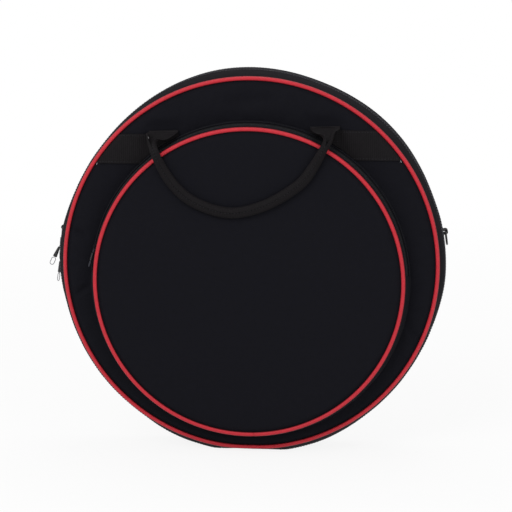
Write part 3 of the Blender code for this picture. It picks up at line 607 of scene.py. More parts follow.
def new_piece(name: str, mesh: Mesh, finish: Finish, body: str, replaces: Sequence[str] = ()) -> Object:
    """Links a piece with its finish, on its body, shaded smooth with its hard edges kept.

    Args:
        name: Its name.
        mesh: Its mesh, in place.
        finish: Its finish.
        body: The CAD body that carries it, or HINGE for cloth between the rear shell and the lid, which is left on no
            body.
        replaces: Its CAD nodes.

    Returns:
        The piece.
    """
    mesh.name = name
    mesh.materials.clear()
    mesh.materials.append(material_of(finish))
    mesh.shade_smooth()
    mesh.set_sharp_from_angle(angle=radians(48))
    piece = bpy.data.objects.new(name, mesh)
    bpy.context.scene.collection.objects.link(piece)
    if replaces:
        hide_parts(*replaces)
    if body == HINGE:
        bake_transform(piece)
    else:
        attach(piece, body)
    log.info("%s: %d faces on %s", name, len(mesh.polygons), body)
    return piece


def mesh_from_arrays(points: Points, faces: Sequence[Sequence[int]], uv: Points) -> Mesh:
    """Makes a closed mesh, with its doubles merged and its faces turned outwards.

    Args:
        points: Vertex places, one row each.
        faces: Vertex numbers of each face.
        uv: Texture place of each vertex, in metres.

    Returns:
        The mesh.
    """
    mesh = bpy.data.meshes.new("piece")
    mesh.from_pydata(points.tolist(), [], [list(face) for face in faces])
    layer = mesh.uv_layers.new(name="UVMap")
    corners = np.zeros(len(mesh.loops), np.int32)
    mesh.loops.foreach_get("vertex_index", corners)
    layer.data.foreach_set("uv", uv[corners].astype(np.float32).ravel())
    builder = bmesh.new()
    builder.from_mesh(mesh)
    bmesh.ops.remove_doubles(builder, verts=builder.verts, dist=1e-7)
    loose = [vertex for vertex in builder.verts if not vertex.link_faces]
    bmesh.ops.delete(builder, geom=loose, context="VERTS")
    bmesh.ops.recalc_face_normals(builder, faces=builder.faces)
    builder.to_mesh(mesh)
    builder.free()
    return mesh


def grid_faces(rows: int, columns: int, start: int = 0) -> list[tuple[int, int, int, int]]:
    """Numbers the quads of a grid of vertices.

    Args:
        rows: Number of rows of vertices.
        columns: Number of vertices in a row.
        start: Number of the first vertex.

    Returns:
        The quads.
    """
    return [(start + row * columns + column, start + row * columns + column + 1,
             start + (row + 1) * columns + column + 1, start + (row + 1) * columns + column)
            for row in range(rows - 1) for column in range(columns - 1)]


def border_numbers(rows: int, columns: int) -> list[int]:
    """Numbers the vertices round the edge of a grid, in order.

    Args:
        rows: Number of rows of vertices.
        columns: Number of vertices in a row.

    Returns:
        The numbers.
    """
    border = ([(0, column) for column in range(columns)] + [(row, columns - 1) for row in range(1, rows)]
              + [(rows - 1, column) for column in range(columns - 2, -1, -1)]
              + [(row, 0) for row in range(rows - 2, 0, -1)])
    return [row * columns + column for row, column in border]


def sheet_mesh(outer: Points, thickness: float, uv: Points) -> Mesh:
    """Makes a sheet of real thickness from a grid on its outer side.

    Args:
        outer: Places on the outer side, rows by columns; rows crossed with columns point outwards.
        thickness: The sheet's thickness, taken inwards.
        uv: Texture places in metres, rows by columns.

    Returns:
        The mesh.
    """
    rows, columns, _ = outer.shape
    normals = np.cross(np.gradient(outer, axis=0), np.gradient(outer, axis=1))
    normals /= np.maximum(np.linalg.norm(normals, axis=2, keepdims=True), 1e-12)
    inner = outer - normals * thickness
    count = rows * columns
    points = np.concatenate([outer.reshape(-1, 3), inner.reshape(-1, 3)])
    faces: list[Sequence[int]] = list(grid_faces(rows, columns))
    faces += grid_faces(rows, columns, count)
    border = border_numbers(rows, columns)
    faces += [(one, other, count + other, count + one) for one, other in zip(border, border[1:] + border[:1])]
    places = np.concatenate([uv.reshape(-1, 2), uv.reshape(-1, 2)])
    return mesh_from_arrays(points, faces, places)


def tube_mesh(path: Points, radius: Any, sides: int, closed: bool = False) -> Mesh:
    """Makes a round cord or wire along a path, with domed ends where it is open.

    Args:
        path: Places along its middle.
        radius: Its radius, or one for each place.
        sides: Number of sides.
        closed: Whether it is a ring.

    Returns:
        The mesh, with its length and girth in metres as UVs.
    """
    places = np.asarray(path, float)
    radii = np.broadcast_to(np.asarray(radius, float), (len(places),)).copy()
    if closed:
        ahead = np.roll(places, -1, axis=0) - np.roll(places, 1, axis=0)
        places = np.concatenate([places, places[:1]])
        radii = np.append(radii, radii[0])
        ahead = np.concatenate([ahead, ahead[:1]])
    else:
        ahead = np.gradient(places, axis=0)
    ahead /= np.linalg.norm(ahead, axis=1, keepdims=True)
    guide = np.array((0.0, 1.0, 0.0) if abs(ahead[0][1]) < 0.9 else (1.0, 0.0, 0.0))
    side = np.cross(ahead[0], guide)
    turns = np.linspace(0, tau, sides + 1)
    rows = []
    for place, direction, size in zip(places, ahead, radii):
        side = side - direction * side.dot(direction)
        side /= np.linalg.norm(side)
        up = np.cross(direction, side)
        rows.append(place + size * (np.outer(np.cos(turns), side) + np.outer(np.sin(turns), up)))
    grid = np.array(rows)
    lengths = np.concatenate([[0.0], np.cumsum(np.linalg.norm(np.diff(places, axis=0), axis=1))])
    if closed:
        grid[-1] = grid[0]
    else:
        first, last = ([place + (ring - place) * share + out * size * rise for share, rise in ((0.75, 0.4), (0, 0.6))]
                       for place, ring, out, size in ((places[0], grid[0], -ahead[0], radii[0]),
                                                      (places[-1], grid[-1], ahead[-1], radii[-1])))
        grid = np.concatenate([np.array(first[::-1]), grid, np.array(last)])
        lengths = np.concatenate([[-radii[0]] * 2, lengths, [lengths[-1] + radii[-1]] * 2])
    girth = np.linspace(0, tau * float(radii.mean()), sides + 1)
    uv = np.stack(np.broadcast_arrays(lengths[:, None], girth[None, :]), axis=2)
    return mesh_from_arrays(grid.reshape(-1, 3), grid_faces(len(grid), sides + 1), uv.reshape(-1, 2))


def smooth_noise(x: Points, y: Points, size: float, seed: float) -> Points:
    """Gives smooth uneven values between about -1 and 1 over some places.

    Args:
        x: First coordinate in metres.
        y: Second coordinate in metres.
        size: Size of one unevenness in metres.
        seed: Offset that makes each piece's pattern its own.

    Returns:
        The values, in the shape of the coordinates.
    """
    across, up = np.broadcast_arrays(x, y)
    flat = [noise.noise(Vector((one / size, other / size, seed))) for one, other in zip(across.ravel(), up.ravel())]
    return np.array(flat).reshape(across.shape)


def ease(value: Any) -> Any:
    """Eases a value from nought to one, level at both ends."""
    clipped = np.clip(value, 0, 1)
    return clipped * clipped * (3 - 2 * clipped)


def refine(grid: Points) -> Points:
    """Puts a point between every two of a grid, on a smooth curve through them.

    Args:
        grid: Places, rows by columns.

    Returns:
        The finer grid.
    """
    for axis in (0, 1):
        lined = np.moveaxis(grid, axis, 0)
        padded = np.concatenate([2 * lined[:1] - lined[1:2], lined, 2 * lined[-1:] - lined[-2:-1]])
        made = np.empty((2 * len(lined) - 1, *lined.shape[1:]))
        made[0::2] = lined
        made[1::2] = (9 * (padded[1:-2] + padded[2:-1]) - padded[:-3] - padded[3:]) / 16
        grid = np.moveaxis(made, 0, axis)
    return grid


def pressed(height: Points, floor: float, softness: float = 0.0014) -> Points:
    """Keeps heights above a floor, with a soft turn where they come down to it."""
    above = height - floor
    return floor + (above + np.sqrt(above ** 2 + softness ** 2)) / 2


def foot_floor(radius: float) -> float:
    """Gives the lowest place of a face's rim, as a height from the bag's middle."""
    return -radius * cos(SIZES.foot_angle) - SIZES.foot_give


def side_sag(turn: Points, depth: Any) -> Points:
    """Gives how far the side's cloth hangs in where its padding has gone slack, nought at both pipings.

    Args:
        turn: Angles from the top.
        depth: Places along Y, or one of them.

    Returns:
        The sag in metres, less than nought where the cloth stands out.
    """
    places, drops = np.array(SIDE_SAG).T
    soft = np.mean([np.interp(np.degrees(turn) + shift, places, drops) for shift in (-3.0, 0.0, 3.0)], axis=0)
    edge = SIZES.bag_radius + SIZES.cloth / 2
    rise = np.vectorize(SIZES.gusset_surface)(depth) - edge
    return 0.001 * soft * rise / (SIZES.apex_radius - edge)


def ring_path(radius: float, depth: float, centre_z: float, low: float, high: float,
              step: float = radians(0.5), floor: float = 0.0, loose: bool = False) -> Points:
    """Gives places round an arc at one depth.

    Args:
        radius: The arc's radius.
        depth: Place along Y.
        centre_z: Height of its middle.
        low: First angle from the top.
        high: Last angle.
        step: Angle between places.
        floor: Lowest height that a place may have.
        loose: Whether it follows the side's slack cloth.

    Returns:
        The places.
    """
    angles = np.linspace(low, high, max(2, round((high - low) / step)) + 1)
    radii = radius - side_sag(angles, depth) if loose else np.full_like(angles, radius)
    heights = np.maximum(centre_z + radii * np.cos(angles), floor)
    return np.stack([radii * np.sin(angles), np.full_like(angles, depth), heights], axis=1)


@dataclass
class RingSheet:
    """A strip of cloth that runs round a circle, as the gusset and the pocket's wall do."""

    centre_z: float
    surface: Surface
    limit: tuple[float, float]
    step: float = radians(1.0)
    floor: Optional[float] = None
    loose: bool = False

    def grid(self, depths: Points, below: float, pucker: float, seed: float, hem: float = 0.0) -> tuple[Points, Points]:
        """Lays out the strip's outer side.

        Args:
            depths: Places along Y of the strip's columns.
            below: How far under the surface the strip lies.
            pucker: Height of its soft unevenness in metres.
            seed: The unevenness's own pattern.
            hem: How much a folded hem raises the last columns.

        Returns:
            The places and their UVs in metres, rows by columns.
        """
        low, high = self.limit
        angles = np.linspace(low, high, max(2, round((high - low) / self.step)) + 1)
        radii = np.array([self.surface(float(depth)) for depth in depths]) - below
        across = np.abs(depths - depths[0]) / abs(depths[-1] - depths[0])
        turn, depth = np.meshgrid(angles, depths, indexing="ij")
        wave = smooth_noise(turn * 0.25, depth, 0.022, seed) + 0.5 * smooth_noise(turn * 0.25, depth, 0.009, seed + 9)
        rise = pucker * wave * (0.25 + 0.75 * np.sin(pi * across))[None, :]
        ring = radii[None, :] + rise + hem * ease((across - 0.55) / 0.12)[None, :]
        if self.loose:
            ring = ring - side_sag(turn, depth)
        places = np.stack([ring * np.sin(turn), depth, self.centre_z + ring * np.cos(turn)], axis=2)
        if self.floor is not None:
            places[..., 2] = np.maximum(places[..., 2], self.floor)
        uv = np.stack([turn * radii.max(), depth], axis=2)
        return places, uv


class PathRepeater:
    """A Geometry Nodes tree that sets one small rounded shape again and again along a path."""

    sizes = (("Spacing", "Float", 0.003), ("Size", "Vector", (0.002, 0.0005, 0.0005)),
             ("Centre", "Vector", (0.0, 0.0, 0.0)), ("Outward", "Vector", (0.0, -1.0, 0.0)),
             ("Radial", "Float", 0.0), ("Slant", "Float", 0.0), ("Unevenness", "Float", 0.05))

    def __init__(self, name: str, finish: Finish) -> None:
        """Builds the tree, and keeps the identifier of each input, which a modifier needs.

        Args:
            name: The tree's name.
            finish: Finish of the small shapes.
        """
        self.name = name
        self.finish = finish
        self.tree = bpy.data.node_groups.new(name, "GeometryNodeTree")
        for side in ("INPUT", "OUTPUT"):
            self.tree.interface.new_socket("Geometry", in_out=side, socket_type="NodeSocketGeometry")
        self.inputs: dict[str, str] = {}
        for label, kind, value in self.sizes:
            item = self.tree.interface.new_socket(label, in_out="INPUT", socket_type="NodeSocket" + kind)
            item.default_value = value
            self.inputs[label.lower()] = item.identifier
        self.build()

    def build(self) -> None:
        """Builds the nodes: even points on the path, a turned shape on each, made real, with its material."""
        tree = self.tree
        given = add_node(tree, "NodeGroupInput")
        even = add_node(tree, "GeometryNodeResampleCurve", {"Curve": given, "Length": given.outputs["Spacing"]},
                        mode="LENGTH")
        spots = add_node(tree, "GeometryNodeCurveToPoints", {"Curve": even}, mode="EVALUATED")
        place = add_node(tree, "GeometryNodeInputPosition")
        from_centre = add_node(
            tree, "ShaderNodeVectorMath", {0: place, 1: given.outputs["Centre"]}, operation="SUBTRACT")
        radial = add_node(tree, "ShaderNodeVectorMath", {0: from_centre}, operation="NORMALIZE")
        pulled = add_node(
            tree, "ShaderNodeVectorMath", {0: radial, "Scale": given.outputs["Radial"]}, operation="SCALE")
        outward = add_node(tree, "ShaderNodeVectorMath", {0: pulled, 1: given.outputs["Outward"]}, operation="ADD")
        along = add_node(tree, "FunctionNodeAlignRotationToVector", {"Vector": spots.outputs["Tangent"]}, axis="X")
        facing = add_node(tree, "FunctionNodeAlignRotationToVector", {"Rotation": along, "Vector": outward},
                          axis="Z", pivot_axis="X")
        slant = add_node(tree, "ShaderNodeCombineXYZ", {2: given.outputs["Slant"]})
        slanted = add_node(tree, "FunctionNodeEulerToRotation", {0: slant})
        turned = add_node(tree, "FunctionNodeRotateRotation", {0: facing, 1: slanted}, rotation_space="LOCAL")
        ball = add_node(tree, "GeometryNodeMeshUVSphere", {"Segments": 6, "Rings": 4, "Radius": 0.5})
        shaped = add_node(tree, "GeometryNodeTransform", {"Geometry": ball, "Scale": given.outputs["Size"]})
        low = add_node(tree, "ShaderNodeMath", {0: 1.0, 1: given.outputs["Unevenness"]}, operation="SUBTRACT")
        high = add_node(tree, "ShaderNodeMath", {0: 1.0, 1: given.outputs["Unevenness"]}, operation="ADD")
        uneven = add_node(tree, "FunctionNodeRandomValue", {"Seed": 7, 2: low, 3: high}, data_type="FLOAT")
        placed = add_node(tree, "GeometryNodeInstanceOnPoints", {"Points": spots, "Instance": shaped,
                           "Rotation": turned, "Scale": uneven.outputs[1]})
        real = add_node(tree, "GeometryNodeRealizeInstances", {0: placed})
        dressed = add_node(tree, "GeometryNodeSetMaterial", {"Material": material_of(self.finish), "Geometry": real})
        add_node(tree, "NodeGroupOutput", {0: dressed})

    def run(self, name: str, paths: Sequence[Points], body: str, closed: bool = False,
            slot: Optional[str] = None, replaces: Sequence[str] = (), **sizes: Any) -> Object:
        """Sets the shapes along some paths and makes them one plain piece.

        Args:
            name: Its name.
            paths: Places along each path.
            body: Its body.
            closed: Whether the paths are rings.
            slot: The record's material slot; not used.
            replaces: Its CAD nodes.
            **sizes: The tree's inputs, by name in lower case.

        Returns:
            The piece.
        """
        curve = bpy.data.curves.new(name, "CURVE")
        curve.dimensions = "3D"
        for path in paths:
            spline = curve.splines.new("POLY")
            spline.points.add(len(path) - 1)
            spline.points.foreach_set("co", np.column_stack([path, np.ones(len(path))]).ravel())
            spline.use_cyclic_u = closed
        carrier = bpy.data.objects.new(name + "_path", curve)
        bpy.context.scene.collection.objects.link(carrier)
        repeat = carrier.modifiers.new(self.name, "NODES")
        repeat.node_group = self.tree
        for key, value in sizes.items():
            repeat[self.inputs[key]] = value
        bpy.context.view_layer.update()
        evaluated = carrier.evaluated_get(bpy.context.evaluated_depsgraph_get())
        mesh = bpy.data.meshes.new_from_object(evaluated)
        bpy.data.objects.remove(carrier, do_unlink=True)
        bpy.data.curves.remove(curve)
        return new_piece(name, mesh, self.finish, body, replaces)


@dataclass
class ClothSwell:
    """Swells a pinned sheet of cloth under gentle air pressure, as foam fills it."""

    pressure: float = 4.0
    frames: int = 20
    slack: float = 0.012
    smoothing: int = 2
    smoothing_share: float = 0.6

    def settle(self, grid: Points, pinned: Points, cap: Points) -> Points:
        """Runs the simulation, caps how far each point moved, and smooths the result.

        Args:
            grid: Places of the flat cloth, rows by columns, its faces turned outwards.
            pinned: One where the cloth is sewn down and nought where it is free.
            cap: How far each point may move, in metres.

        Returns:
            The places after the simulation.
        """
        shift = self.simulate(grid, pinned) - grid
        length = np.linalg.norm(shift, axis=2, keepdims=True)
        limit = np.maximum(cap[..., None], 1e-9)
        shift *= limit * np.tanh(length / limit) / np.maximum(length, 1e-9)
        free = (1 - pinned[1:-1, 1:-1])[..., None]
        for _ in range(self.smoothing):
            mean = (shift[:-2, 1:-1] + shift[2:, 1:-1] + shift[1:-1, :-2] + shift[1:-1, 2:]) / 4
            shift[1:-1, 1:-1] += (mean - shift[1:-1, 1:-1]) * self.smoothing_share * free
        return grid + shift

    def simulate(self, grid: Points, pinned: Points) -> Points:
        """Steps Blender's cloth and reads the result back, leaving nothing of it in the scene.

        Args:
            grid: Places of the flat cloth.
            pinned: One where the cloth is sewn down.

        Returns:
            The places after the simulation.
        """
        rows, columns, _ = grid.shape
        mesh = bpy.data.meshes.new("swelling_cloth")
        mesh.from_pydata(grid.reshape(-1, 3).tolist(), [], grid_faces(rows, columns))
        item = bpy.data.objects.new("swelling_cloth", mesh)
        scene = bpy.context.scene
        scene.collection.objects.link(item)
        item.vertex_groups.new(name="sewn").add(np.flatnonzero(pinned.ravel() > 0.5).tolist(), 1.0, "REPLACE")
        cloth = item.modifiers.new("swell", "CLOTH")
        given = {"quality": 4, "mass": 0.25, "tension_stiffness": 12, "compression_stiffness": 12,
                 "shear_stiffness": 6, "bending_stiffness": 0.4, "shrink_min": -self.slack, "use_pressure": True,
                 "uniform_pressure_force": self.pressure, "vertex_group_mass": "sewn"}
        for setting, value in given.items():
            setattr(cloth.settings, setting, value)
        cloth.settings.effector_weights.gravity = 0.0
        cloth.collision_settings.use_collision = False
        cloth.point_cache.frame_start = 1
        cloth.point_cache.frame_end = self.frames
        for step in range(1, self.frames + 1):
            scene.frame_set(step)
        evaluated = item.evaluated_get(bpy.context.evaluated_depsgraph_get())
        places = np.zeros(rows * columns * 3, np.float32)
        evaluated.data.vertices.foreach_get("co", places)
        bpy.data.objects.remove(item, do_unlink=True)
        bpy.data.meshes.remove(mesh)
        scene.frame_set(1)
        return places.reshape(rows, columns, 3).astype(float)


def no_seams(x: Points, z: Points) -> Points:
    """Marks no place: only the rim is sewn."""
    return np.zeros(x.shape)


@dataclass
class PaddedDisc:
    """A padded face of cloth over foam: swollen where it is free, drawn in at every seam."""

    name: str
    face: Face
    centre_z: float
    radius: float
    plane: float
    foam: float = 0.0
    swell: float = 0.0
    pinned: Field = no_seams
    cap: Field = no_seams
    detail: Field = no_seams
    flat_foot: bool = True
    tuck: float = 0.0006
    count: int = 101
    surface: Optional[BVHTree] = None

    def flat_grid(self) -> Points:
        """Lays an even grid of quads over the disc, its foot pressed straight where the bag stands.

        Returns:
            The places, rows by columns, their quads turned outwards.
        """
        share = np.linspace(-1, 1, self.count)
        across, up = np.meshgrid(share, share, indexing="xy")
        x = self.radius * across * np.sqrt(1 - up ** 2 / 2)
        z = self.radius * up * np.sqrt(1 - across ** 2 / 2)
        if self.flat_foot:
            z = pressed(z, foot_floor(self.radius))
        grid = np.stack([x, np.full_like(x, self.face.value * self.plane), self.centre_z + z], axis=2)
        return grid[:, ::-1] if self.face is Face.REAR else grid

    def build(self, replaces: Sequence[str]) -> None:
        """Builds the padded face as one closed form.

        Args:
            replaces: Its CAD nodes.
        """
        side = self.face.value
        grid = self.flat_grid()
        fixed = (self.pinned(grid[..., 0], grid[..., 2]) > 0.5).astype(float)
        fixed[[0, -1], :] = 1
        fixed[:, [0, -1]] = 1
        cap = self.swell * self.cap(grid[..., 0], grid[..., 2])
        swollen = refine(ClothSwell().settle(grid, fixed, cap))
        edge = np.hypot(swollen[..., 0], swollen[..., 2] - self.centre_z)
        rolled = 0.0020 * ease((edge - self.radius + 0.005) / 0.005)
        swollen[..., 1] += side * (self.detail(swollen[..., 0], swollen[..., 2]) - rolled)
        tuck = self.tuck / self.radius * ease((edge - self.radius + 0.0030) / 0.0030)
        swollen[..., 0] *= 1 + tuck
        swollen[..., 2] += (swollen[..., 2] - self.centre_z) * tuck
        rows, columns, _ = swollen.shape
        self.surface = BVHTree.FromPolygons(swollen.reshape(-1, 3).tolist(), grid_faces(rows, columns))
        middle = np.array([0.0, 0.0, self.centre_z])
        back = middle + (swollen - middle) * 0.98
        back[..., 1] = side * (self.plane - self.foam)
        count = rows * columns
        rim = border_numbers(rows, columns)
        points = np.concatenate([swollen.reshape(-1, 3), back.reshape(-1, 3)])
        faces: list[Sequence[int]] = list(grid_faces(rows, columns))
        faces += [(one, other, count + other, count + one) for one, other in zip(rim, rim[1:] + rim[:1])]
        faces.append([count + index for index in rim])
        mesh = mesh_from_arrays(points, faces, points[:, [0, 2]])
        piece = new_piece(self.name, mesh, POLYESTER, self.face.shell, replaces)

    def build_lining(self, name: str, node: str, wave: float, seed: float) -> None:
        """Builds a thin lining over the same disc, with soft waves.

        Args:
            name: Its name.
            node: Its CAD node.
            wave: Height of its waves in metres.
            seed: Their own pattern.
        """
        grid = self.flat_grid()
        edge = np.hypot(grid[..., 0], grid[..., 2] - self.centre_z)
        free = ease((self.radius - 0.002 - edge) / 0.030)
        waves = wave * free * (1 + smooth_noise(grid[..., 0], grid[..., 2], 0.045, seed))
        grid[..., 1] -= self.face.value * waves
        mesh = sheet_mesh(grid, 0.0008, grid[..., [0, 2]])
        piece = new_piece(name, mesh, TAFFETA, self.face.shell, (node,))

    def lay(self, x: Points, z: Points, lift: float) -> Points:
        """Finds places just above the swollen cloth.

        Args:
            x: Places along X.
            z: Heights.
            lift: Distance above the cloth.

        Returns:
            The places, in the shape of the coordinates.
        """
        side = self.face.value
        found = np.zeros((*x.shape, 3))
        for index in np.ndindex(x.shape):
            start = Vector((float(x[index]), side * (self.plane + 0.05), float(z[index])))
            hit = self.surface.ray_cast(start, Vector((0.0, -side, 0.0)))[0]
            depth = hit.y if hit else side * self.plane
            found[index] = (x[index], depth + side * lift, z[index])
        return found


def seam_puckers(x: Points, z: Points, centre_z: float, radius: float, seed: float) -> Points:
    """Gives the small ripples that a curved seam draws into the cloth beside it.

    Args:
        x: Places along X.
        z: Heights.
        centre_z: Height of the seam's middle.
        radius: The seam's radius.
        seed: Their own pattern.

    Returns:
        Heights of the ripples, from -1 to 1.
    """
    away = np.abs(np.hypot(x, z - centre_z) - radius)
    turn = np.arctan2(x, z - centre_z) * radius
    return smooth_noise(turn, away * 0.3, 0.012, seed) * np.exp(-away / 0.011) * ease(away / 0.003)


@dataclass(frozen=True)
class Crease:
    """A soft crease in a padded face: a shallow valley along a short line."""

    x: float
    z: float
    angle: float
    length: float
    width: float
    depth: float

    def height(self, x: Points, z: Points) -> Points:
        """Gives the valley's height, nought away from it.

        Args:
            x: Places along X.
            z: Heights.

        Returns:
            Heights in metres, all of them nought or less.
        """
        along = (x - self.x) * cos(self.angle) + (z - self.z) * sin(self.angle)
        across = (z - self.z) * cos(self.angle) - (x - self.x) * sin(self.angle)
        return -self.depth * np.exp(-(along / self.length) ** 2 - (across / self.width) ** 2)


@dataclass
class BagFaces:
    """The two padded faces of the bag with their linings."""

    front_swell: float = 0.0070
    rear_swell: float = 0.0055
    creases: tuple[Crease, ...] = (
        Crease(-0.2300, 0.2250, radians(35), 0.018, 0.0045, 0.0030),
        Crease(-0.2340, 0.3030, radians(-30), 0.016, 0.0045, 0.0028),
        Crease(0.0000, 0.4860, radians(4), 0.028, 0.0100, 0.0032),
        Crease(0.2250, 0.1700, radians(-40), 0.016, 0.0050, 0.0022),
        Crease(0.0900, 0.4820, radians(60), 0.012, 0.0050, 0.0012),
        Crease(-0.0900, 0.4860, radians(-55), 0.012, 0.0050, 0.0012))

    @staticmethod
    def under_bands(x: Points, z: Points) -> Points:
        """Gives one where the handle is sewn on, a share under the rest of its bands, and nought elsewhere.

        Args:
            x: Places along X.
            z: Heights.

        Returns:
            The shares.
        """
        held = np.zeros(x.shape)
        for flank in Flank:
            inner, top, low = HANDLE.band_limits(flank)
            across = x * flank.value
            band = ease((z - low + 0.004) / 0.010) * ease((top + 0.026 - z) / 0.014)
            outer = abs(HANDLE.crest_centre(flank)) + HANDLE.webbing_width / 2
            root = ease((across - inner + 0.014) / 0.012) * ease((outer + 0.022 - across) / 0.020)
            rest = 0.45 * ease((across - inner + 0.006) / 0.010)
            held = np.maximum(held, band * np.maximum(root, rest))
        return held

    @staticmethod
    def under_pocket(x: Points, z: Points) -> Points:
        """Marks the disc that the pocket covers."""
        return (np.hypot(x, z - SIZES.pocket_z) < SIZES.wall_base_radius - 0.0005).astype(float)

    def front_cap(self, x: Points, z: Points) -> Points:
        """Gives how far the ring round the pocket may swell: most above it, little at its foot.

        Args:
            x: Places along X.
            z: Heights.

        Returns:
            Shares of the greatest swell.
        """
        gap = SIZES.panel_radius - np.hypot(x, z - SIZES.bag_z)
        reach = np.hypot(x, z - SIZES.pocket_z) - SIZES.wall_base_radius
        room = np.clip((gap + reach) / 0.050, 0, 1)
        uneven = 1 + 0.25 * smooth_noise(x, z, 0.050, 3.1)
        return (0.12 + 0.88 * room) * uneven * (1 - self.under_bands(x, z))

    def rear_cap(self, x: Points, z: Points) -> Points:
        """Gives how far the rear face may swell."""
        return (1 + 0.25 * smooth_noise(x, z, 0.060, 8.4)) * (1 - self.under_bands(x, z))

    def front_detail(self, x: Points, z: Points) -> Points:
        """Gives the creases and puckers of the front face.

        Args:
            x: Places along X.
            z: Heights.

        Returns:
            Heights in metres.
        """
        free = (1 - self.under_bands(x, z)) * (1 - self.under_pocket(x, z))
        folds = sum(crease.height(x, z) for crease in self.creases)
        ripples = seam_puckers(x, z, SIZES.bag_z, SIZES.panel_radius, 2.2)
        ripples += seam_puckers(x, z, SIZES.pocket_z, SIZES.wall_base_radius, 4.7)
        return free * (folds + 0.0009 * ripples)

    def rear_detail(self, x: Points, z: Points) -> Points:
        """Gives the puckers of the rear face."""
        return 0.0009 * seam_puckers(x, z, SIZES.bag_z, SIZES.panel_radius, 6.6) * (1 - self.under_bands(x, z))

    def build(self) -> tuple[PaddedDisc, PaddedDisc]:
        """Builds both faces and both linings.

        Returns:
            The front and the rear face.
        """
        front = PaddedDisc("front_face_padding", Face.FRONT, SIZES.bag_z, SIZES.panel_radius, SIZES.panel_face,
                           0.0118, self.front_swell, self.under_pocket, self.front_cap, self.front_detail)
        front.build(("front_panel", "front_foam"))
        rear = PaddedDisc("rear_face_padding", Face.REAR, SIZES.bag_z, SIZES.panel_radius, SIZES.panel_face,
                          0.0118, self.rear_swell, no_seams, self.rear_cap, self.rear_detail)
        rear.build(("rear_panel", "rear_foam"))
        for face in Face:
            inner = PaddedDisc(face.word, face, SIZES.bag_z, SIZES.panel_radius - 0.005, 0.0234, count=61)
            inner.build_lining(face.word + "_lining_cloth", face.word + "_lining",
                               0.0006, 5.5 + face.value)
        return front, rear


@dataclass
class Gusset:
    """The side of the bag: two strips beside the zip and the plain piece under the bag."""

    stitcher: PathRepeater
    limit: float = pi - SIZES.foot_angle
    pucker: float = 0.0007
    hem: float = 0.0005
    tuck: float = 0.0008

    def build(self) -> None:
        """Builds the strips, the foot piece and their topstitching."""
        for face in Face:
            edge = face.value * (SIZES.gusset_edge + self.tuck)
            opening = SIZES.zip_offset + face.value * SIZES.zip_lip
            ring = RingSheet(SIZES.bag_z, SIZES.gusset_surface, (-self.limit, self.limit), floor=0.0, loose=True)
            places, uv = ring.grid(np.linspace(edge, opening, 17), 0.0, self.pucker, 1.7 + face.value, self.hem)
            if face is Face.REAR:
                places, uv = places[:, ::-1], uv[:, ::-1]
            name = face.word + "_side_cloth"
            mesh = sheet_mesh(places, SIZES.cloth, uv)
            piece = new_piece(
                name, mesh, LIT_GUSSET_CLOTH, face.side_shell, (face.word + "_gusset_strip",))
            rows = []
            for inset in (0.0020, 0.0058):
                depth = opening + face.value * inset
                radius = SIZES.gusset_surface(depth) + self.hem + 0.0001
                rows.append(ring_path(radius, depth, SIZES.bag_z, -self.limit + 0.02, self.limit - 0.02,
                                      floor=0.0003, loose=True))
            self.stitcher.run(
                face.word + "_zip_topstitch", rows, face.side_shell, slot="black_polyester", spacing=0.0040,
                size=(0.0030, 0.0005, 0.0005), centre=(0.0, opening, SIZES.bag_z), radial=1.0, outward=(0.0, 0.0, 0.0))
        self.build_foot()

    def build_foot(self) -> None:
        """Builds the plain piece under the bag, between the two ends of the zip."""
        reach = SIZES.gusset_edge + self.tuck
        depths = np.linspace(-reach, reach, 21)
        rows = []
        for share in np.linspace(1, -1, 25):
            section = []
            for depth in depths:
                radius = SIZES.gusset_surface(float(depth))
                height = SIZES.bag_z - radius * cos(SIZES.foot_angle)
                dip = 0.0008 * (1 - share ** 2) * noise.noise(Vector((share * 4, depth * 60, 2.2)))
                across = share * (radius * sin(SIZES.foot_angle) - SIZES.fit_gap)
                section.append((across, float(depth), max(max(height, 0.0) + dip, 0.0)))
            rows.append(section)
        outer = np.array(rows)
        mesh = sheet_mesh(outer, SIZES.cloth, outer[..., [0, 1]])
        piece = new_piece("foot_cloth", mesh, LIT_GUSSET_CLOTH, HINGE, ("bottom_gusset",))


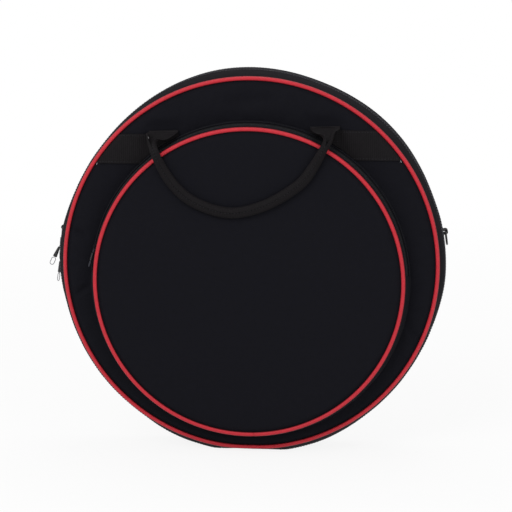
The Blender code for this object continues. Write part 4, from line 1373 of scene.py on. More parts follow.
@dataclass
class Zips:
    """The main zip round the side and the pocket's zip in its wall."""

    teeth: PathRepeater
    limit: float = pi - SIZES.foot_angle
    pitch: float = 0.0015
    pocket_pitch: float = 0.0013
    slant: float = radians(6)

    def build(self) -> None:
        """Builds the tapes and the coils of both zips."""
        below = SIZES.cloth + SIZES.fit_gap
        for face in Face:
            ring = RingSheet(SIZES.bag_z, SIZES.gusset_surface, (-self.limit, self.limit), floor=below, loose=True)
            depths = (SIZES.zip_offset + face.value * 0.0001, SIZES.zip_offset + face.value * SIZES.tape_width)
            self.build_tape(face.word + "_tape", ring, depths, below, SIZES.tape, face.side_shell,
                            face.word + "_zip_tape")
            depth = SIZES.zip_offset + face.value * 0.0021
            shift = 0.0 if face is Face.FRONT else self.pitch / 2 / SIZES.coil_radius
            path = ring_path(SIZES.coil_radius, depth, SIZES.bag_z, -self.limit + 0.004 + shift,
                             self.limit - 0.004, floor=SIZES.apex_radius - SIZES.coil_radius, loose=True)
            self.teeth.run(
                face.word + "_coil_turns", [path], face.side_shell, slot="nylon_coil",
                replaces=(face.word + "_zip_coil",), spacing=self.pitch, size=(0.00115, 0.0040, 0.0024),
                centre=(0.0, depth, SIZES.bag_z), radial=1.0, outward=(0.0, 0.0, 0.0), slant=self.slant * face.value,
                unevenness=0.02)
        self.build_pocket_zip()

    def build_pocket_zip(self) -> None:
        """Builds the tapes and the coils in the pocket's wall."""
        middle = -(SIZES.wall_base + SIZES.wall_edge) / 2
        limit = SIZES.pocket_zip_angle
        below = SIZES.wall + SIZES.fit_gap
        for face in Face:
            prefix = "pocket_" + face.word
            ring = RingSheet(SIZES.pocket_z, SIZES.wall_surface, (-limit, limit))
            depths = (middle + face.value * 0.0001, middle + face.value * SIZES.pocket_tape_width)
            self.build_tape(prefix + "_tape", ring, depths, below, SIZES.pocket_tape, "lid", prefix + "_zip_tape")
            depth = middle + face.value * 0.0016
            radius = SIZES.wall_surface(depth) - below - SIZES.pocket_tape / 2
            shift = 0.0 if face is Face.FRONT else self.pocket_pitch / 2 / radius
            path = ring_path(radius, depth, SIZES.pocket_z, -limit + 0.004 + shift, limit - 0.004)
            self.teeth.run(
                prefix + "_coil_turns", [path], "lid", slot="nylon_coil", replaces=(prefix + "_zip_coil",),
                spacing=self.pocket_pitch, size=(0.0010, 0.0026, 0.0018), centre=(0.0, depth, SIZES.pocket_z),
                radial=cos(SIZES.wall_lean), outward=(0.0, -sin(SIZES.wall_lean), 0.0), slant=self.slant * face.value,
                unevenness=0.02)

    @staticmethod
    def build_tape(name: str, ring: RingSheet, depths: tuple[float, float], below: float, thickness: float,
                   body: str, node: str) -> None:
        """Builds one tape of a zip.

        Args:
            name: Its name.
            ring: The surface that it follows.
            depths: Its two edges.
            below: How far under the surface it lies.
            thickness: Its thickness.
            body: Its body.
            node: Its CAD node.
        """
        places, uv = ring.grid(np.linspace(min(depths), max(depths), 9), below, 0.0001, 4.0)
        piece = new_piece(name, sheet_mesh(places, thickness, uv), ZIP_TAPE, body, (node,))
        length = (ring.limit[1] - ring.limit[0]) * ring.surface(depths[0])


@dataclass
class Pocket:
    """The round front pocket: its padded face, its zipped wall and its piping."""

    stitcher: PathRepeater
    swell: float = 0.0026

    @staticmethod
    def cap(x: Points, z: Points) -> Points:
        """Gives how far the pocket's face may swell: less under the handle that lies on it."""
        high = ease((z - SIZES.pocket_z - 0.070) / 0.050)
        return (1 - 0.35 * high) * (1 + 0.22 * smooth_noise(x, z, 0.055, 6.2))

    @staticmethod
    def detail(x: Points, z: Points) -> Points:
        """Gives the puckers beside the pocket's piping."""
        return 0.0006 * seam_puckers(x, z, SIZES.pocket_z, SIZES.pocket_panel_radius, 9.1)

    def build(self) -> None:
        """Builds the pocket's cloth pieces and their stitches."""
        radius = SIZES.pocket_panel_radius
        PaddedDisc("pocket_face_padding", Face.FRONT, SIZES.pocket_z, radius, SIZES.pocket_plane + SIZES.cloth,
                   0.0078, self.swell, no_seams, self.cap, self.detail, flat_foot=False, count=91
                   ).build(("pocket_panel", "pocket_foam"))
        PaddedDisc("pocket", Face.FRONT, SIZES.pocket_z, radius - 0.005, 0.0534, flat_foot=False, count=51
                   ).build_lining("pocket_lining_cloth", "pocket_lining", 0.0005, 1.5)
        limit = SIZES.pocket_zip_angle
        rows = []
        for face, edge in ((Face.FRONT, -SIZES.wall_edge), (Face.REAR, -SIZES.wall_base)):
            inner = edge - face.value * SIZES.wall_strip
            self.build_wall("pocket_" + face.word + "_wall_cloth", (edge, inner), (-limit, limit),
                            "pocket_" + face.word + "_strip", 2.4 + face.value)
            depth = inner + face.value * 0.0014
            rows.append(
                ring_path(SIZES.wall_surface(depth) + 0.0002, depth, SIZES.pocket_z, -limit + 0.01, limit - 0.01))
        self.build_wall("pocket_lower_wall_cloth", (-SIZES.wall_edge, -SIZES.wall_base),
                        (limit + 0.0014, tau - limit - 0.0014), "pocket_lower_wall", 7.7)
        middle = -(SIZES.wall_base + SIZES.wall_edge) / 2
        self.stitcher.run(
            "pocket_zip_topstitch", rows, "lid", slot="black_polyester", spacing=0.0036, size=(0.0026, 0.0004, 0.0004),
            centre=(0.0, middle, SIZES.pocket_z), radial=cos(SIZES.wall_lean),
            outward=(0.0, -sin(SIZES.wall_lean), 0.0))

    @staticmethod
    def build_wall(name: str, depths: tuple[float, float], limit: tuple[float, float], node: str, seed: float) -> None:
        """Builds one piece of the pocket's wall.

        Args:
            name: Its name.
            depths: Its two edges.
            limit: Its first and last angle from the top.
            node: Its CAD node.
            seed: Its own pattern of puckers.
        """
        width = abs(depths[1] - depths[0])
        columns = max(5, round(width / 0.0015))
        ring = RingSheet(SIZES.pocket_z, SIZES.wall_surface, limit)
        places, uv = ring.grid(np.linspace(min(depths), max(depths), columns), 0.0, 0.0005, seed)
        piece = new_piece(name, sheet_mesh(places, SIZES.wall, uv), POLYESTER, "lid", (node,))


@dataclass(frozen=True)
class PipingRing:
    """One ring of red piping: bias cloth round a cord, closed by a butt joint near its foot."""

    name: str
    node: str
    body: str
    radius: float
    depth: float
    centre_z: float
    flat_foot: bool
    joint: float
    sides: int = 16
    step: float = radians(1.0)
    notch: float = 0.18

    def build(self) -> None:
        """Builds the ring, starting at its joint."""
        even = np.arange(1, round(tau / self.step)) * self.step
        near = 0.0006 / self.radius
        angles = pi - self.joint / self.radius + np.concatenate([[0.0, near], even, [tau - near]])
        x = self.radius * np.sin(angles)
        z = self.radius * np.cos(angles)
        if self.flat_foot:
            z = pressed(z, foot_floor(self.radius))
        path = np.stack([x, np.full_like(x, self.depth), self.centre_z + z], axis=1)
        radii = np.full(len(path), SIZES.piping_radius)
        radii[0] *= 1 - self.notch
        mesh = tube_mesh(path, radii, self.sides, closed=True)
        new_piece(self.name, mesh, PIPING, self.body, (self.node,))


@dataclass
class Handle:
    """A carrying handle: two bands, two sewn ends, and webbing folded round a core."""

    face: Face
    disc: PaddedDisc
    rest_depth: float
    stitcher: PathRepeater
    columns: int = 25
    steps: int = 8

    def route(self) -> Points:
        """Gives the fold line of the hanging webbing, from its left crest to its right one.

        Returns:
            The places.
        """
        side = self.face.value
        middle = (HANDLE.crest_height(Flank.LEFT) + HANDLE.crest_height(Flank.RIGHT)) / 2
        layer = HANDLE.hanging_layer
        inner = [np.array((HANDLE.centre + across * HANDLE.half_span,
                           side * (layer + (self.rest_depth - layer) * forward),
                           middle - down * HANDLE.drop)) for across, down, forward in HANDLE.route]
        crests = [np.array((HANDLE.crest_centre(flank), side * layer, HANDLE.crest_height(flank) - SIZES.fit_gap))
                  for flank in Flank]
        drops = [crest - np.array((0.0, 0.0, HANDLE.straight)) for crest in crests]
        given = [drops[0], *inner, drops[1]]
        padded = [2 * given[0] - given[1], *given, 2 * given[-1] - given[-2]]
        smooth = []
        for before, start, end, after in zip(padded, padded[1:], padded[2:], padded[3:]):
            for index in range(self.steps):
                t = index / self.steps
                bend = (2 * before - 5 * start + 4 * end - after) * t ** 2
                twist = (3 * start - before - 3 * end + after) * t ** 3
                smooth.append((2 * start + (end - before) * t + bend + twist) / 2)
        smooth.append(given[-1])
        return np.array([crests[0], *smooth, crests[1]])

    def build(self) -> None:
        """Builds the whole handle."""
        self.build_webbing()
        for flank in Flank:
            self.build_band(flank)
            self.build_sewn_end(flank)

    def build_webbing(self) -> None:
        """Builds the hanging webbing, flat at both crests and curled into a tube between them."""
        prefix = self.face.word
        body = prefix + "_handle"
        route = self.route()
        lengths = np.concatenate([[0.0], np.cumsum(np.linalg.norm(np.diff(route, axis=0), axis=1))])
        crest_up = np.array((-HANDLE.slope, 0.0, 1.0))
        crest_up /= np.linalg.norm(crest_up)
        outward = np.array((0.0, float(self.face.value), 0.0))
        rows, seam, core = [], [], []
        for index, point in enumerate(route):
            from_end = min(lengths[index], lengths[-1] - lengths[index])
            folded = float(0.20 * ease(from_end / HANDLE.funnel) + 0.80 * min(from_end / HANDLE.funnel, 1.0))
            straight = -crest_up if index < len(route) / 2 else crest_up
            ahead = route[min(index + 1, len(route) - 1)] - route[max(index - 1, 0)]
            ahead = ahead / np.linalg.norm(ahead)
            across = np.cross(straight, outward) * (1 - folded) + np.cross(ahead, outward) * folded
            across /= np.linalg.norm(across)
            forward = np.cross(across, straight * (1 - folded) + ahead * folded)
            forward /= np.linalg.norm(forward)
            if forward.dot(outward) < 0:
                forward = -forward
            places = self.section(folded, float(ease((from_end - HANDLE.funnel / 2) / HANDLE.turned)))
            rows.append(point + np.outer(places[:, 0], across) + np.outer(places[:, 1], forward))
            if folded > 0.96:
                core.append(rows[-1].mean(axis=0))
                seam.append((rows[-1][0] + rows[-1][self.columns - 1]) / 2 + forward * (HANDLE.webbing + 0.0002))
        self.add_strap(prefix + "_handle_strap", body, np.array(rows), lengths)
        mesh = tube_mesh(np.array(core), HANDLE.core_radius, 12)
        new_piece(prefix + "_handle_filling", mesh, CORE, body, (body + "_core",))
        shown = int(np.searchsorted(lengths, HANDLE.yarn_end))
        pale = np.array([rows[shown][self.columns + 2], rows[shown + 1][self.columns + 2]])
        new_piece(prefix + "_handle_yarn_end", tube_mesh(pale + outward * 0.0002, 0.0010, 8), CUT_YARN, body)
        self.stitcher.run(prefix + "_handle_seam_stitches", [np.array(seam[2:-2])], body, slot="black_webbing",
                          spacing=0.0042, size=(0.0024, 0.0006, 0.0005), outward=outward.tolist())

    def add_strap(self, name: str, body: str, grid: Points, lengths: Points) -> None:
        """Adds the hanging webbing as one closed form.

        Args:
            name: Its name.
            body: Its body.
            grid: Places round its section, for each place along it.
            lengths: Distances along it.
        """
        loop = np.concatenate([grid, grid[:, :1]], axis=1)
        count = loop.shape[1]
        width = np.concatenate([np.linspace(0, HANDLE.webbing_width, self.columns),
                                np.linspace(HANDLE.webbing_width, 0, self.columns), [0.0]])
        uv = np.stack(np.broadcast_arrays(lengths[:, None], width[None, :]), axis=2)
        faces: list[Sequence[int]] = list(grid_faces(len(loop), count))
        for start in (0, (len(loop) - 1) * count):
            faces += [(start + index, start + index + 1, start + 2 * self.columns - 2 - index,
                       start + 2 * self.columns - 1 - index) for index in range(self.columns - 1)]
        mesh = mesh_from_arrays(loop.reshape(-1, 3), faces, uv.reshape(-1, 2))
        new_piece(name, mesh, WEBBING, body, (body + "_webbing",))

    def section(self, folded: float, lying: float) -> Points:
        """Gives the webbing across its width, flat or curled.

        Args:
            folded: Share of the fold, nought at a crest and one in the tube.
            lying: How far the tube has turned from standing on edge to lying flat.

        Returns:
            Its outer side and, backwards, its inner side, as places across and forward.
        """
        turn = max(folded, 0.01) * tau * HANDLE.fold
        bend = HANDLE.webbing_width / turn
        tube = HANDLE.webbing_width / (pi * HANDLE.fold)
        width = HANDLE.end_width + (HANDLE.grip_width - HANDLE.end_width) * lying
        depth = HANDLE.end_depth + (HANDLE.grip_depth - HANDLE.end_depth) * lying
        widen = 1 + ((width - HANDLE.webbing) / tube - 1) * folded
        flatten = 1 + ((depth - HANDLE.webbing) / tube - 1) * folded
        angles = turn * (np.linspace(0, 1, self.columns) - 0.5)
        middle = np.stack([bend * np.sin(angles) * widen, bend * (1 - np.cos(angles)) * flatten], axis=1)
        normal = np.stack([-np.sin(angles) * flatten, np.cos(angles) * widen], axis=1)
        normal *= HANDLE.webbing / 2 / np.linalg.norm(normal, axis=1, keepdims=True)
        return np.concatenate([middle - normal, (middle + normal)[::-1]])

    def build_band(self, flank: Flank) -> None:
        """Builds the webbing band from the outer seam to the handle, draped on the padded face.

        Args:
            flank: Its side.
        """
        inner, top, low = HANDLE.band_limits(flank)
        reach = SIZES.wall_base_radius + SIZES.fit_gap
        heights = np.linspace(low, top, 17)

        def limits(height: Points) -> tuple[Points, Points]:
            """Gives a band's inner and outer ends at some heights."""
            start = np.sqrt(np.maximum(reach ** 2 - (height - SIZES.pocket_z) ** 2, 0))
            return np.maximum(start, inner), np.sqrt((SIZES.panel_radius - 0.0003) ** 2 - (height - SIZES.bag_z) ** 2)

        starts, ends = limits(heights)
        share = np.linspace(0, 1, 49)
        x = flank.value * (starts[None, :] + (ends - starts)[None, :] * share[:, None])
        z = np.broadcast_to(heights[None, :], x.shape)
        name = f"{self.face.word}_{flank.name.lower()}_strap_band"
        lift = SIZES.fit_gap + HANDLE.webbing
        draped = self.disc.lay(x, z, lift)
        self.add_flat(name, draped, f"{self.face.word}_{flank.name.lower()}_band")
        yarn = (flank.value * 0.0010, self.face.value * 0.0012, -0.0022)
        frayed = draped[-2, 0] + np.outer(np.linspace(0, 1, 4), yarn)
        new_piece(name + "_yarn_end", tube_mesh(frayed, 0.0005, 6), CUT_YARN, self.face.shell)
        rows = []
        for height in (low + 0.0022, top - 0.0022):
            start, end = limits(np.array(height))
            across = flank.value * np.linspace(float(start) + 0.001, float(end), 40)
            rows.append(self.disc.lay(across, np.full(40, height), lift + 0.0001))
        self.stitcher.run(name + "_stitches", rows, self.face.shell, slot="black_webbing", spacing=0.0040,
                          size=(0.0030, 0.0005, 0.0005), outward=(0.0, float(self.face.value), 0.0))

    def build_sewn_end(self, flank: Flank) -> None:
        """Builds the handle's sewn end, which rises from the band to the crest.

        Args:
            flank: Its side.
        """
        middle = HANDLE.crest_centre(flank)
        x = np.linspace(middle - HANDLE.webbing_width / 2, middle + HANDLE.webbing_width / 2, 17)
        foot = SIZES.pocket_z + np.sqrt((SIZES.wall_base_radius + SIZES.fit_gap) ** 2 - x ** 2)
        top = HANDLE.crest_height(flank) - SIZES.fit_gap + HANDLE.slope * (x - middle)
        z = foot[:, None] + (top - foot)[:, None] * np.linspace(0, 1, 13)[None, :]
        across = np.broadcast_to(x[:, None], z.shape)
        level = self.face.value * (HANDLE.sewn_layer + HANDLE.webbing / 2)
        grid = np.stack([across, np.full(z.shape, level), z], axis=2)
        name = f"{self.face.word}_{flank.name.lower()}_handle_root"
        self.add_flat(name, grid, f"{self.face.word}_handle_{flank.name.lower()}_end", upright=True)
        inset = 0.003
        box = [(x[0] + inset, foot[0] + inset), (x[-1] - inset, foot[-1] + inset),
               (x[-1] - inset, top[-1] - inset), (x[0] + inset, top[0] - inset)]
        lifted = level + self.face.value * 0.0001
        self.stitcher.run(
            name + "_stitches", [np.array([(one, lifted, other) for one, other in box])], self.face.shell, closed=True,
            slot="black_webbing", spacing=0.0034, size=(0.0026, 0.0005, 0.0005),
            outward=(0.0, float(self.face.value), 0.0))

    def add_flat(self, name: str, grid: Points, node: str, upright: bool = False) -> None:
        """Adds a flat piece of webbing from its outer side.

        Args:
            name: Its name.
            grid: Its outer side, rows across X, columns up Z.
            node: Its CAD node.
            upright: Whether the webbing runs up Z and not across X.
        """
        uv = grid[..., [2, 0]] if upright else grid[..., [0, 2]]
        turned = np.cross(grid[1, 0] - grid[0, 0], grid[0, 1] - grid[0, 0])[1] * self.face.value
        if turned < 0:
            grid, uv = grid[::-1], uv[::-1]
        new_piece(name, sheet_mesh(grid, HANDLE.webbing, uv), WEBBING, self.face.shell, (node,))


@dataclass
class SideRing:
    """A webbing tab on the rear of the gusset and the D-ring that hangs in it."""

    flank: Flank
    stitcher: PathRepeater
    width: float = 0.020
    offset: float = 0.016
    angle: float = radians(80.5)
    reach: float = 0.0060
    wire: float = 0.0015
    play: float = 0.0010
    height: float = 0.0180
    tilt: float = radians(8)

    def build(self) -> None:
        """Builds the tab, its stitches and the ring."""
        side = self.flank.value
        name = self.flank.name.lower()
        angle = side * self.angle
        outward = np.array((sin(angle), 0.0, cos(angle)))
        upward = np.array((-side * cos(angle), 0.0, side * sin(angle)))
        centre = np.array((0.0, 0.0, SIZES.bag_z))
        foot = SIZES.gusset_surface(self.offset) + 2 * SIZES.fit_gap
        bar = SIZES.gusset_surface(self.offset) + self.reach
        outer = self.wire + SIZES.fit_gap + SIZES.cloth
        bend = [(bar + outer * cos(turn), outer * sin(turn)) for turn in np.linspace(-pi / 2, pi / 2, 13)]
        outline = [(foot, -outer), ((foot + bar) / 2, -outer), *bend, ((foot + bar) / 2, outer), (foot, outer)]
        depths = np.linspace(self.offset - self.width / 2, self.offset + self.width / 2, 11)
        grid = np.array([[centre + outward * out + upward * rise + np.array((0.0, depth, 0.0))
                          for depth in depths] for out, rise in outline])
        lengths = np.concatenate([[0.0], np.cumsum(np.linalg.norm(np.diff(grid[:, 0], axis=0), axis=1))])
        uv = np.stack(np.broadcast_arrays(lengths[:, None], depths[None, :]), axis=2)
        normal = np.cross(grid[8, 5] - grid[7, 5], grid[7, 6] - grid[7, 5])
        if normal.dot(outward) < 0:
            grid, uv = grid[:, ::-1], uv[:, ::-1]
        mesh = sheet_mesh(grid, SIZES.cloth, uv)
        new_piece(name + "_tab_webbing", mesh, WEBBING, "rear_shell", (name + "_ring_tab",))
        row = np.array([centre + outward * (foot + 0.0022) + upward * (side * (outer + 0.0001))
                        + np.array((0.0, depth, 0.0)) for depth in depths[1:-1]])
        self.stitcher.run(name + "_tab_stitches", [row], "rear_shell", slot="black_webbing", spacing=0.0030,
                          size=(0.0022, 0.0005, 0.0005), outward=(upward * side).tolist())
        self.build_ring(name, angle, bar)

    def build_ring(self, name: str, angle: float, bar: float) -> None:
        """Builds the D-shaped ring of wire, its straight bar inside the tab.

        Args:
            name: The side's name.
            angle: Place of the tab from the top.
            bar: Distance of the ring's bar from the bag's middle.
        """
        place = Matrix.Translation((bar * sin(angle), self.offset, SIZES.bag_z + bar * cos(angle)))
        swing = place @ Matrix.Rotation(-self.flank.value * self.tilt, 4, "Y")
        half = self.width / 2 + self.play + self.wire
        steps = 40
        bow = [(0.0, half * cos(pi * index / steps), -self.height * sin(pi * index / steps))
               for index in range(steps + 1)]
        straight = [(0.0, -half + 2 * half * index / 10, 0.0) for index in range(1, 10)]
        path = np.array([list(swing @ Vector(point)) for point in bow + straight])
        mesh = tube_mesh(path, self.wire, 14, closed=True)
        new_piece(name + "_ring_wire", mesh, ENAMEL, name + "_ring", (name + "_d_ring",))


class Pull(Enum):
    """The three zip pulls, by the words that name their nodes."""

    UPPER = "upper"
    LOWER = "lower"
    POCKET = "pocket"


@dataclass
class ZipPull:
    """A pull hung under a slider's bridge: a cord, a moulded grip and a loop."""

    pull: Pull
    place: Matrix
    scale: float
    twist: float
    braid: BraidedCord = CORD
    cord: float = 0.0005
    link: float = 0.0060
    grip: float = 0.0160
    grip_top: float = 0.0034
    grip_end: float = 0.0062
    grip_thickness: float = 0.0030
    loop: float = 0.0120
    loop_width: float = 0.0056
    bridge_width: float = 0.0024

    def build(self) -> None:
        """Builds the cord under the bridge, the grip with its ribs, and the loop."""
        spread = self.bridge_width / 2 + SIZES.fit_gap + self.cord
        near = self.cord + SIZES.fit_gap / 2
        end = self.link - SIZES.fit_gap
        leg = [(-end, near), (-end * 0.8, near * 1.2), (-end * 0.6, spread), (-near * 2, spread),
               (-near, spread * 0.96), (-near * 0.3, spread * 0.8), (0.0, spread * 0.5)]
        self.add_cord("link", self.place, leg + [(0.0, 0.0)] + [(along, -across) for along, across in leg[::-1]])
        turned = self.place @ Matrix.Rotation(self.twist, 4, "X")
        self.build_grip(turned)
        start = -self.link - self.grip * self.scale - SIZES.fit_gap
        half = self.loop_width / 2
        centre = start - self.loop * self.scale + half + self.cord
        leg = [(start, near), (start - half * 0.35, near * 1.8), (start - half * 0.8, half)]
        arc = [(centre - half * sin(turn), half * cos(turn)) for turn in np.linspace(0, pi, 17)]
        self.add_cord("loop", turned, leg + arc + [(along, -across) for along, across in leg[::-1]])

    def add_cord(self, part: str, place: Matrix, path: Sequence[tuple[float, float]]) -> None:
        """Adds a piece of the pull's grey cord.

        Args:
            part: The word that names its CAD node.
            place: The frame of its path.
            path: Places along and across that frame.
        """
        body = self.pull.value + "_pull"
        points = np.array([list(place @ Vector((along, across, 0.0))) for along, across in path])
        mesh = tube_mesh(points, self.cord, 8)
        new_piece(body + "_cord_" + part, mesh, self.braid, body, (body + "_" + part,))

    def build_grip(self, turned: Matrix) -> None:
        """Builds the moulded grip: a tapered, ribbed bar with rounded ends.

        Args:
            turned: The grip's frame.
        """
        body = self.pull.value + "_pull"
        length = self.grip * self.scale
        rows = []
        for along in np.linspace(0, 1, 41):
            end = min(along, 1 - along)
            fill = sqrt(max(0.0, 1 - (1 - min(end / 0.07, 1.0)) ** 2))
            rib = 1 - 0.07 * (0.5 + 0.5 * cos(tau * along * 7)) * float(ease(end / 0.12))
            width = (self.grip_top + (self.grip_end - self.grip_top) * along) * fill * rib / 2
            height = self.grip_thickness * fill * rib / 2
            ring = []
            for turn in np.linspace(0, tau, 21):
                square = 1 / max(abs(cos(turn)), abs(sin(turn))) ** 0.35
                across = max(-1.0, min(1.0, square * cos(turn))) * width
                rise = max(-1.0, min(1.0, square * sin(turn))) * height
                ring.append(list(turned @ Vector((-self.link - along * length, across, rise))))
            rows.append(ring)
        grid = np.array(rows)
        uv = np.stack(np.meshgrid(np.linspace(0, length, 41), np.linspace(0, 0.02, 21), indexing="ij"), axis=2)
        mesh = mesh_from_arrays(grid.reshape(-1, 3), grid_faces(41, 21), uv.reshape(-1, 2))
        new_piece(body + "_moulded_grip", mesh, MOULDED, body, (body + "_grip",))


@dataclass
class Sliders:
    """The two sliders of the main zip, the pocket's one, and their pulls."""

    lower_angle: float = radians(-88.4)
    pocket_angle: float = radians(-78)
    slider_length: float = 0.0180
    slider_gap: float = 0.0018
    slider_plate: float = 0.0012
    clearance: float = 0.0007
    bridge_length: float = 0.0110
    bridge: float = 0.0008
    coil: float = 0.0024
    pocket_coil: float = 0.0018
    pocket_scale: float = 0.72
    sink: float = 0.7 * (1 - cos(radians(3)))
    cord: float = 0.0005

    @staticmethod
    def axes_at(angle: float, radius: float, depth: float, centre_z: float, lean: float) -> Matrix:
        """Gives the axes of a zip at an angle.

        Args:
            angle: Place from the top.
            radius: The zip's radius.
            depth: Place along Y.
            centre_z: Height of its middle.
            lean: How far its wall leans forward.

        Returns:
            The frame, X along the zip and Z out of it.
        """
        outward = Vector((sin(angle), 0.0, cos(angle)))
        along = Vector((cos(angle), 0.0, -sin(angle)))
        normal = outward * cos(lean) + Vector((0.0, -sin(lean), 0.0))
        across = normal.cross(along)
        place = Vector((radius * sin(angle), depth, centre_z + radius * cos(angle)))
        rows = [(along[row], across[row], normal[row], place[row]) for row in range(3)]
        return Matrix(rows + [(0.0, 0.0, 0.0, 1.0)])

    def pull_place(self, axes: Matrix, coil: float, scale: float, tilt: float) -> Matrix:
        """Gives the frame of a pull at its slider's bridge.

        Args:
            axes: The zip's frame there.
            coil: Thickness of the coil.
            scale: Size of the slider.
            tilt: How far the pull is lifted.

        Returns:
            The pull's frame.
        """
        top = coil / 2 + self.clearance + self.slider_plate * scale
        end = self.bridge_length * scale / 2 - self.bridge - 2 * (self.cord + SIZES.fit_gap)
        move = Matrix.Translation((-end, 0.0, top + SIZES.fit_gap + self.cord))
        return axes @ move @ Matrix.Rotation(tilt, 4, "Y")

    def build(self) -> None:
        """Finishes the slider nodes and builds the three pulls."""
        for node in ("upper_slider", "lower_slider", "pocket_slider"):
            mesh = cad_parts[node].data
            mesh.materials.clear()
            mesh.materials.append(material_of(ZINC))
        radius = SIZES.coil_radius
        upper_angle = self.lower_angle + (self.slider_length + self.slider_gap) / radius
        for pull, angle, tilt, twist in ((Pull.UPPER, upper_angle, radians(20), radians(90)),
                                         (Pull.LOWER, self.lower_angle, radians(5.5), radians(38))):
            axes = self.axes_at(angle, radius * (1 - self.sink), SIZES.zip_offset, SIZES.bag_z, 0.0)
            ZipPull(pull, self.pull_place(axes, self.coil, 1.0, tilt), 1.0, twist).build()
        middle = -(SIZES.wall_base + SIZES.wall_edge) / 2
        ring = SIZES.wall_surface(middle) - SIZES.wall - SIZES.fit_gap - SIZES.pocket_tape / 2
        axes = self.axes_at(self.pocket_angle, ring * (1 - self.sink), middle, SIZES.pocket_z, SIZES.wall_lean)
        place = self.pull_place(axes, self.pocket_coil, self.pocket_scale, radians(5.5))
        ZipPull(Pull.POCKET, place, self.pocket_scale, 0.0, DARK_CORD).build()


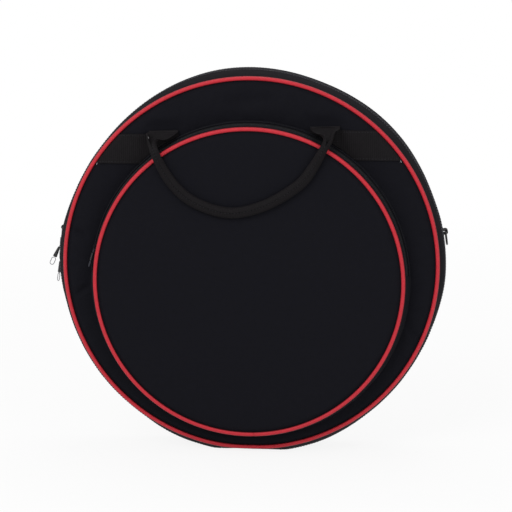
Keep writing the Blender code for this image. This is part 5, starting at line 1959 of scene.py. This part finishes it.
@dataclass
class Studio:
    """The pale floor, the soft lights and the camera at the photograph's angle."""

    azimuth: float = radians(5.3)
    elevation: float = radians(9.2)
    distance: float = 2.2
    focal_pixels: float = 1613.0
    image_pixels: float = 512.0
    place_pixels: tuple[float, float] = (249.6, 266.2)
    floor_colour: HexColour = "#f4f4f4"

    def build(self) -> None:
        """Sets up the floor, the world, the lights and the camera."""
        self.add_floor()
        self.add_world()
        self.add_light("key_softbox", (-0.9, -2.0, 1.9), 1.6, 26.0)
        self.add_light("fill_softbox", (1.6, -1.8, 1.0), 1.6, 9.0)
        self.add_light("top_softbox", (0.2, 0.4, 2.4), 1.4, 10.0)
        self.add_camera()
        bpy.context.scene.view_settings.view_transform = "Standard"

    def add_floor(self) -> None:
        """Adds a plain floor that stays white to the camera and keeps the bag's shadow."""
        mesh = bpy.data.meshes.new("studio_floor")
        half = 6.0
        mesh.from_pydata(
            [(-half, -half, 0.0), (half, -half, 0.0), (half, half, 0.0), (-half, half, 0.0)], [], [(0, 1, 2, 3)])
        material = bpy.data.materials.new("matt_white_floor")
        material.use_nodes = True
        tree = material.node_tree
        shader = tree.nodes["Principled BSDF"]
        shader.inputs["Base Color"].default_value = linear(self.floor_colour)
        shader.inputs["Roughness"].default_value = 0.9
        glow = add_node(tree, "ShaderNodeEmission", {"Color": (1.0, 1.0, 1.0, 1.0), "Strength": 1.0})
        seen = self.seen_directly(tree)
        place = add_node(tree, "ShaderNodeTexCoord")
        away = add_node(tree, "ShaderNodeVectorMath", {0: place.outputs["Object"]}, operation="LENGTH")
        whiter = add_node(tree, "ShaderNodeMapRange", {1: 0.4, 2: 2.4, 3: 0.88, 4: 1.0, 0: away.outputs["Value"]})
        share = add_node(tree, "ShaderNodeMath", {0: seen, 1: whiter}, operation="MULTIPLY")
        mixed = add_node(tree, "ShaderNodeMixShader", {0: share, 1: shader, 2: glow})
        tree.links.new(mixed.outputs[0], tree.nodes["Material Output"].inputs["Surface"])
        mesh.materials.append(material)
        floor = bpy.data.objects.new("studio_floor", mesh)
        bpy.context.scene.collection.objects.link(floor)

    @staticmethod
    def seen_directly(tree: NodeTree) -> Node:
        """Adds nodes that give one for what the camera, a mirror or glass sees.

        Args:
            tree: The tree of the floor or of the world.

        Returns:
            The node that gives the share.
        """
        path = add_node(tree, "ShaderNodeLightPath")
        mirror = add_node(
            tree, "ShaderNodeMath", {0: path.outputs["Is Glossy Ray"], 1: path.outputs["Is Transmission Ray"]},
            operation="MAXIMUM")
        return add_node(tree, "ShaderNodeMath", {0: path.outputs["Is Camera Ray"], 1: mirror}, operation="MAXIMUM")

    def add_world(self) -> None:
        """Adds a world that looks white and lights the bag at a plain level."""
        world = bpy.data.worlds.new("studio_world")
        bpy.context.scene.world = world
        world.use_nodes = True
        tree = world.node_tree
        seen = self.seen_directly(tree)
        strength = add_node(tree, "ShaderNodeMapRange", {1: 0.0, 2: 1.0, 3: 0.55, 4: 1.0, 0: seen})
        background = tree.nodes["Background"]
        background.inputs["Color"].default_value = (1.0, 1.0, 1.0, 1.0)
        tree.links.new(strength.outputs[0], background.inputs["Strength"])

    @staticmethod
    def add_light(name: str, place: Triple, size: float, power: float) -> None:
        """Adds a large soft light that faces the bag.

        Args:
            name: The light's name.
            place: Where it stands.
            size: Its width in metres.
            power: Its power in watts.
        """
        data = bpy.data.lights.new(name, "AREA")
        data.shape = "DISK"
        data.size = size
        data.energy = power
        light = bpy.data.objects.new(name, data)
        light.location = place
        aim = Vector((0.0, 0.0, SIZES.bag_z)) - Vector(place)
        light.rotation_euler = aim.to_track_quat("-Z", "Y").to_euler()
        bpy.context.scene.collection.objects.link(light)

    def add_camera(self) -> None:
        """Adds the camera, placed so that the outer piping lies where the photograph has it."""
        data = bpy.data.cameras.new("photo_camera")
        data.sensor_width = 36.0
        data.lens = 36.0 * self.focal_pixels / self.image_pixels
        camera = bpy.data.objects.new("photo_camera", data)
        back = Vector((sin(self.azimuth) * cos(self.elevation), -cos(self.azimuth) * cos(self.elevation),
                       sin(self.elevation)))
        turn = (-back).to_track_quat("-Z", "Y")
        right, up = turn @ Vector((1, 0, 0)), turn @ Vector((0, 1, 0))
        metres = self.distance / self.focal_pixels
        half = self.image_pixels / 2
        across = (half - self.place_pixels[0]) * metres
        rise = (self.place_pixels[1] - half) * metres
        middle = Vector((0.0, -SIZES.gusset_half, SIZES.bag_z))
        camera.location = middle + back * self.distance + right * across + up * rise
        camera.rotation_euler = turn.to_euler()
        bpy.context.scene.collection.objects.link(camera)
        bpy.context.scene.camera = camera


def main() -> None:
    """Builds every sub-assembly in order."""
    logging.basicConfig(level=logging.INFO, format="%(name)s: %(message)s")
    Studio().build()
    stitcher = PathRepeater("stitches_along_path", THREAD)
    teeth = PathRepeater("coil_turns_along_path", NYLON)
    front, rear = BagFaces().build()
    Gusset(PathRepeater("topstitches_along_path", TOPSTITCH)).build()
    Zips(teeth).build()
    Pocket(stitcher).build()
    half = SIZES.gusset_half
    PipingRing("front_piping_cord", "front_piping", "lid", SIZES.bag_radius, -half, SIZES.bag_z, True, 0.014).build()
    PipingRing("rear_piping_cord", "rear_piping", "rear_shell", SIZES.bag_radius, half, SIZES.bag_z, True,
               -0.010).build()
    PipingRing("pocket_piping_cord", "pocket_piping", "lid", SIZES.pocket_radius, -SIZES.pocket_plane,
               SIZES.pocket_z, False, 0.0076).build()
    rest = SIZES.pocket_plane + SIZES.piping_radius + HANDLE.rest_gap + HANDLE.webbing / 2
    Handle(Face.FRONT, front, rest, stitcher).build()
    Handle(Face.REAR, rear, HANDLE.hanging_layer + HANDLE.rest_gap, stitcher).build()
    Sliders().build()
    for flank in Flank:
        SideRing(flank, stitcher).build()


if __name__ == "__main__":
    main()
